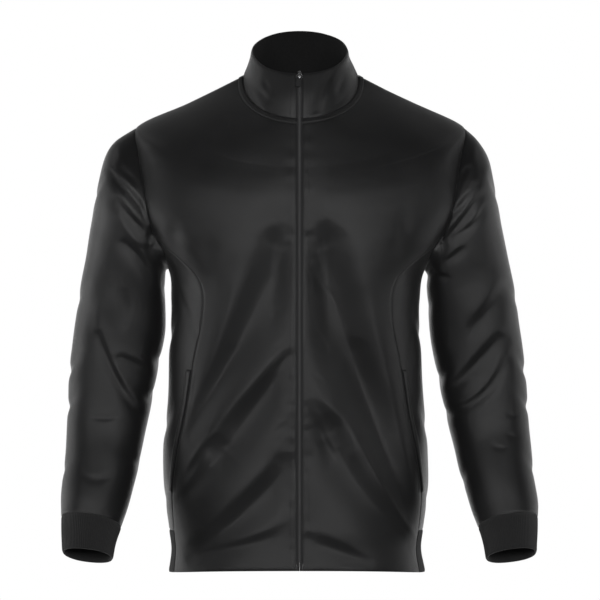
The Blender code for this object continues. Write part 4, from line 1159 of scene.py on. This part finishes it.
class SWEATSHIRT_OT_sleeves(bpy.types.Operator):
    """The two set-in sleeves, from the armholes to the cuff seams"""

    bl_idname = "sweatshirt.sleeves"
    bl_label = "Sleeves"

    def execute(self, context):
        spacing, thickness, roll = drawn(context)
        last = SLEEVE["at"][-1]
        along = shares(SLEEVE_RUN, spacing, last)
        for side in (1, -1):
            points = sleeve_points(along, side, spacing)
            normals = tube_normals(points, side)
            x, y, z = points[..., 0], points[..., 1], points[..., 2]
            depth = sunk(SLEEVE_FRONT, x, z, -normals[..., 1]) + sunk(SLEEVE_BACK, x, z, normals[..., 1])
            depth += sunk(SLEEVE_OUTER, y, z, side * normals[..., 0])
            depth += 0.8 * sunk(SLEEVE_OUTER, y, z + 12 * side, -side * normals[..., 0])
            depth += unevenness(points, 11 + side, 80.0, 0.45)
            from_seam = np.minimum(along, last - along)[:, None]
            points = points - normals * (depth * np.clip(from_seam / 0.5, 0, 1))[..., None]
            ends = (along, armhole_normals(side, spacing)), (last - along, in_plane_normals(points[-1]))
            for away, border in ends:
                normals = unit(normals + (border - normals) * np.exp(-3.0 * away)[:, None, None])
            points = rolled(points, normals, BORDERS[:2], roll)
            sewn("sleeve", side, points, normals, thickness, closed=True)
        return {"FINISHED"}


class SWEATSHIRT_OT_collar(bpy.types.Operator):
    """The stand collar, open at the zip, with a rounded rim"""

    bl_idname = "sweatshirt.collar"
    bl_label = "Collar"

    def execute(self, context):
        spacing = drawn(context)[0]
        rise = shares(COLLAR_RISE, spacing)[:, None]
        left, right = (across_angle(COLLAR, rise, ZIP_HALF, side) for side in (1, -1))
        theta = left + (right - left) * shares(COLLAR_RUN, spacing)
        surface = collar_surface(theta, rise + 0 * theta)
        panel("collar", 0, *surface, neck_normals(theta[0]), context, "first_row")
        return {"FINISHED"}


class SWEATSHIRT_OT_cuffs(bpy.types.Operator):
    """The two rib cuffs"""

    bl_idname = "sweatshirt.cuffs"
    bl_label = "Cuffs"

    def execute(self, context):
        sizes = context.scene.sweatshirt_cloth
        columns, height = RIB_COLUMNS * sizes.cuff_ribs, sizes.rib_height / MM
        turns = np.linspace(0, 360, columns, endpoint=False)
        along = levels(0, CUFF_END, RIB_ROWS, (0.08, 0.08))[:, None]
        ribs = rib_heights(columns, height, np.minimum(along, CUFF_END - along) / CUFF_END * CUFF_LENGTH)
        for side in (1, -1):
            points = sleeve_section(CUFF, along, turns, side)
            normals = np.stack([in_plane_normals(row) for row in points])
            depth = height + unevenness(points, 21 + side, 45.0, 0.35)
            points = points - normals * depth[..., None]
            sewn("cuff", side, points, normals, sizes.rib / MM, True, ribs, RIB_COLUMNS // 2)
        return {"FINISHED"}


class SWEATSHIRT_OT_hem_rib(bpy.types.Operator):
    """The rib band over the sides and back of the hem"""

    bl_idname = "sweatshirt.hem_rib"
    bl_label = "Hem rib"

    def execute(self, context):
        sizes = context.scene.sweatshirt_cloth
        columns = RIB_COLUMNS * sizes.hem_ribs + 1
        height = levels(HEM, RIB_SEAM, RIB_ROWS, (2.5, 2.5))[:, None]
        start, end = edge_angle(height, 1), edge_angle(height, -1)
        theta = start + (end - start) * np.linspace(0, 1, columns)
        points, normals = body_surface(theta, height + 0 * theta)
        ribs = rib_heights(columns, sizes.rib_height / MM, np.minimum(height - HEM, RIB_SEAM - height))
        sewn("hem_rib", 0, points, normals, sizes.rib / MM, False, ribs, RIB_COLUMNS // 2)
        return {"FINISHED"}


class SWEATSHIRT_OT_welts(bpy.types.Operator):
    """The narrow welts behind the pocket mouths"""

    bl_idname = "sweatshirt.welts"
    bl_label = "Pocket welts"

    def execute(self, context):
        height = np.arange(POCKET_BOTTOM, POCKET_TOP + 0.1, 3.0)[:, None]
        for side in (1, -1):
            theta = beside_seam(height, np.linspace(1.2, 9.0, 7), side)
            points, normals = body_surface(theta, height + 0 * theta)
            borders = [border for border in BORDERS if border != "first_column"]
            points = rolled(points + normals * WELT_RAISED, normals, borders, 0.9, 1.2)
            sewn("welt", side, points, normals, WELT_THICKNESS)
        return {"FINISHED"}


class SWEATSHIRT_OT_zip_tapes(bpy.types.Operator):
    """The woven tapes of the zip"""

    bl_idname = "sweatshirt.zip_tapes"
    bl_label = "Zip tapes"

    def execute(self, context):
        sizes = context.scene.sweatshirt_zip
        for side in (1, -1):
            lines = [zip_path(across, side) for across in TAPE_LINES]
            points, normals = (np.stack([line[k] for line in lines], axis=1)[:-1] for k in (0, 1))
            points = points - normals * (sizes.recess / MM - np.array(TAPE_BULGE))[..., None]
            sewn("tape", side, points, normals, sizes.tape / MM)
        return {"FINISHED"}


class SWEATSHIRT_OT_zip_coil(bpy.types.Operator):
    """The nylon coil: a tooth from each tape in turn"""

    bl_idname = "sweatshirt.zip_coil"
    bl_label = "Zip coil"

    def execute(self, context):
        sizes = context.scene.sweatshirt_zip
        for side in (1, -1):
            path, out = zip_path(0.01, side)
            places, normals = evenly(path[3:-5], out[3:-5], sizes.tooth_pitch / MM)
            if side < 0:
                places, normals = (places[:-1] + places[1:]) / 2, unit(normals[:-1] + normals[1:])
            places = places - normals * (sizes.recess / MM - TOOTH_RAISED)
            across = np.array([side, 0.0, 0.0])
            starts, ends = places - across * TOOTH_BACK, places + across * TOOTH_REACH
            name = "coil" + HANDS[side]
            # The coil's finish carries painted highlights for the glints on its teeth
            placed(name, capsules(name, starts, ends, normals, sizes.tooth / MM, 6), "coil")
        return {"FINISHED"}


class SWEATSHIRT_OT_hardware(bpy.types.Operator):
    """Finishes of the slider, the pull tab and the zip's metal ends"""

    bl_idname = "sweatshirt.hardware"
    bl_label = "Zip hardware"

    def execute(self, context):
        for node in ("zip_slider", "zip_pin", "zip_box", "pull_tab"):
            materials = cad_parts[node].data.materials
            materials.clear()
            materials.append(cloth("pull" if node == "pull_tab" else "silver"))
        return {"FINISHED"}


class SWEATSHIRT_OT_sewing(bpy.types.Operator):
    """Rows of stitches beside the zip, round the neck and at the pockets"""

    bl_idname = "sweatshirt.sewing"
    bl_label = "Sewing"

    def execute(self, context):
        sizes = context.scene.sweatshirt_sewing
        paths = [zip_path(sizes.beside_zip / MM, side) for side in (1, -1)]
        theta = np.linspace(4.2, 355.8, 400)
        at_neck = ring_points(BODY, theta, NECK)
        below = np.linalg.norm(ring_points(BODY, theta, NECK - 2.0) - at_neck, axis=-1) / 2
        for down in (sizes.under_neck, sizes.neck_band):
            paths.append(body_surface(theta, NECK - down / MM / below))
        height = np.arange(POCKET_BOTTOM, POCKET_TOP, 2.0)
        for side in (1, -1):
            paths.append(body_surface(beside_seam(height, -sizes.beside_pocket / MM, side), height))
        rows = [stitch_row(points, normals, sizes, THREAD_LIFT) for points, normals in paths]
        starts, ends, out = (np.concatenate([row[k] for row in rows]) for k in range(3))
        placed("stitching", capsules("stitching", starts, ends, out, sizes.thread / MM, 5), "thread")
        return {"FINISHED"}


# Lights: name, place, turn in degrees, width, height, power
LAMPS = (
    ("front_light", (0.0, -3.8, 0.45), (90, 0, 0), 6.0, 0.9, 68.0),
    ("upper_light", (0.0, -1.7, 1.0), (48.6, 0, 0), 1.8, 0.3, 2.0),
    ("low_light_left", (0.42, -1.25, -1.42), (140, 0, 8), 0.5, 0.5, 0.45),
    ("low_light_right", (-0.42, -1.25, -1.42), (140, 0, -8), 0.5, 0.5, 0.45),
    ("left_light", (2.3, 0.2, -0.55), (90, 0, 95), 1.4, 1.5, 7.0),
    ("right_light", (-2.3, 0.2, -0.55), (90, 0, -95), 1.4, 1.5, 12.0),
    ("high_light_left", (1.3, 0.1, 1.0), (43, 0, 97), 0.5, 0.5, 0.8),
    ("high_light_right", (-1.3, 0.1, 1.0), (43, 0, -97), 0.5, 0.5, 1.2),
)
CAMERA_X, SENSOR = 0.0006, 36.0


class SWEATSHIRT_OT_stage(bpy.types.Operator):
    """Floor, lights, surroundings and camera"""

    bl_idname = "sweatshirt.stage"
    bl_label = "Stage"

    def execute(self, context):
        scene, sizes = context.scene, context.scene.sweatshirt_stage
        bpy.ops.object.select_all(action="DESELECT")
        bpy.ops.mesh.primitive_circle_add(
            vertices=96, radius=sizes.radius, fill_type="NGON", location=(0, 0, sizes.floor)
        )
        floor = context.active_object
        floor.name = "floor"
        bpy.ops.object.transform_apply(location=True, rotation=False, scale=False)
        material, _, _, shader = node_material("pale_floor", (0.86, 0.86, 0.86), 0.7)
        shader.inputs["Emission Color"].default_value = (0.9, 0.9, 0.9, 1)
        shader.inputs["Emission Strength"].default_value = 0.85
        floor.data.materials.append(material)
        floor.visible_glossy = floor.visible_diffuse = False
        for name, place, turn, wide, high, power in LAMPS:
            data = bpy.data.lights.new(name, "AREA")
            data.shape, data.size, data.size_y, data.energy = "RECTANGLE", wide, high, power
            lamp = bpy.data.objects.new(name, data)
            lamp.location, lamp.rotation_euler = place, [math.radians(a) for a in turn]
            scene.collection.objects.link(lamp)
        self.surroundings(scene)
        data = bpy.data.cameras.new("camera")
        data.lens, data.sensor_width = sizes.lens, SENSOR
        camera = bpy.data.objects.new("camera", data)
        camera.location = (CAMERA_X, -sizes.distance, sizes.height)
        camera.rotation_euler = (math.radians(90), 0, 0)
        scene.collection.objects.link(camera)
        scene.camera = camera
        scene.view_settings.view_transform = "Standard"
        return {"FINISHED"}

    def surroundings(self, scene):
        """White beyond the jacket, dim towards the front and above, so that the satin shades."""
        world = bpy.data.worlds.new("studio")
        world.use_nodes = True
        nodes, links = world.node_tree.nodes, world.node_tree.links
        nodes.clear()
        split = nodes.new("ShaderNodeSeparateXYZ")
        links.new(nodes.new("ShaderNodeTexCoord").outputs["Generated"], split.inputs[0])
        behind = ranged(nodes, links, split.outputs["Y"], 0.04, 0.9, (-0.05, 0.85), "SMOOTHSTEP")
        above = ranged(nodes, links, split.outputs["Z"], 1.0, 0.35, (0.0, 0.5), "SMOOTHSTEP")
        lit, seen = nodes.new("ShaderNodeBackground"), nodes.new("ShaderNodeBackground")
        for background in (lit, seen):
            background.inputs["Color"].default_value = (1, 1, 1, 1)
        links.new(maths(nodes, links, "MULTIPLY", behind, above), lit.inputs["Strength"])
        mix = nodes.new("ShaderNodeMixShader")
        links.new(nodes.new("ShaderNodeLightPath").outputs["Is Camera Ray"], mix.inputs["Fac"])
        links.new(lit.outputs["Background"], mix.inputs[1])
        links.new(seen.outputs["Background"], mix.inputs[2])
        links.new(mix.outputs["Shader"], nodes.new("ShaderNodeOutputWorld").inputs["Surface"])
        scene.world = world


class SWEATSHIRT_PT_pieces(bpy.types.Panel):
    """Lists the pieces of the sweatshirt"""

    bl_idname = "SWEATSHIRT_PT_pieces"
    bl_label = "Sweatshirt"
    bl_space_type = "VIEW_3D"
    bl_region_type = "UI"
    bl_category = "Sweatshirt"

    def draw(self, context):
        for operator in OPERATORS:
            self.layout.operator(operator.bl_idname)
        for name in GROUPS:
            group = getattr(context.scene, name)
            box = self.layout.box()
            for prop in group.bl_rna.properties:
                if not prop.is_readonly and prop.identifier != "name":
                    box.prop(group, prop.identifier)


GROUPS = {
    "sweatshirt_cloth": ClothSizes,
    "sweatshirt_sewing": SewingSizes,
    "sweatshirt_zip": ZipSizes,
    "sweatshirt_finishes": Finishes,
    "sweatshirt_stage": StageSizes,
}
OPERATORS = (
    SWEATSHIRT_OT_stage, SWEATSHIRT_OT_fronts, SWEATSHIRT_OT_sides, SWEATSHIRT_OT_back,
    SWEATSHIRT_OT_sleeves, SWEATSHIRT_OT_collar, SWEATSHIRT_OT_cuffs, SWEATSHIRT_OT_hem_rib,
    SWEATSHIRT_OT_welts, SWEATSHIRT_OT_zip_tapes, SWEATSHIRT_OT_zip_coil, SWEATSHIRT_OT_hardware,
    SWEATSHIRT_OT_sewing,
)


def register():
    for group in GROUPS.values():
        bpy.utils.register_class(group)
    for name, group in GROUPS.items():
        setattr(bpy.types.Scene, name, PointerProperty(type=group))
    for operator in OPERATORS:
        bpy.utils.register_class(operator)
    bpy.utils.register_class(SWEATSHIRT_PT_pieces)


def unregister():
    bpy.utils.unregister_class(SWEATSHIRT_PT_pieces)
    for operator in reversed(OPERATORS):
        bpy.utils.unregister_class(operator)
    for name, group in GROUPS.items():
        delattr(bpy.types.Scene, name)
        bpy.utils.unregister_class(group)


def main():
    register()
    for operator in OPERATORS:
        group, name = operator.bl_idname.split(".")
        getattr(getattr(bpy.ops, group), name)()


if __name__ == "__main__":
    main()
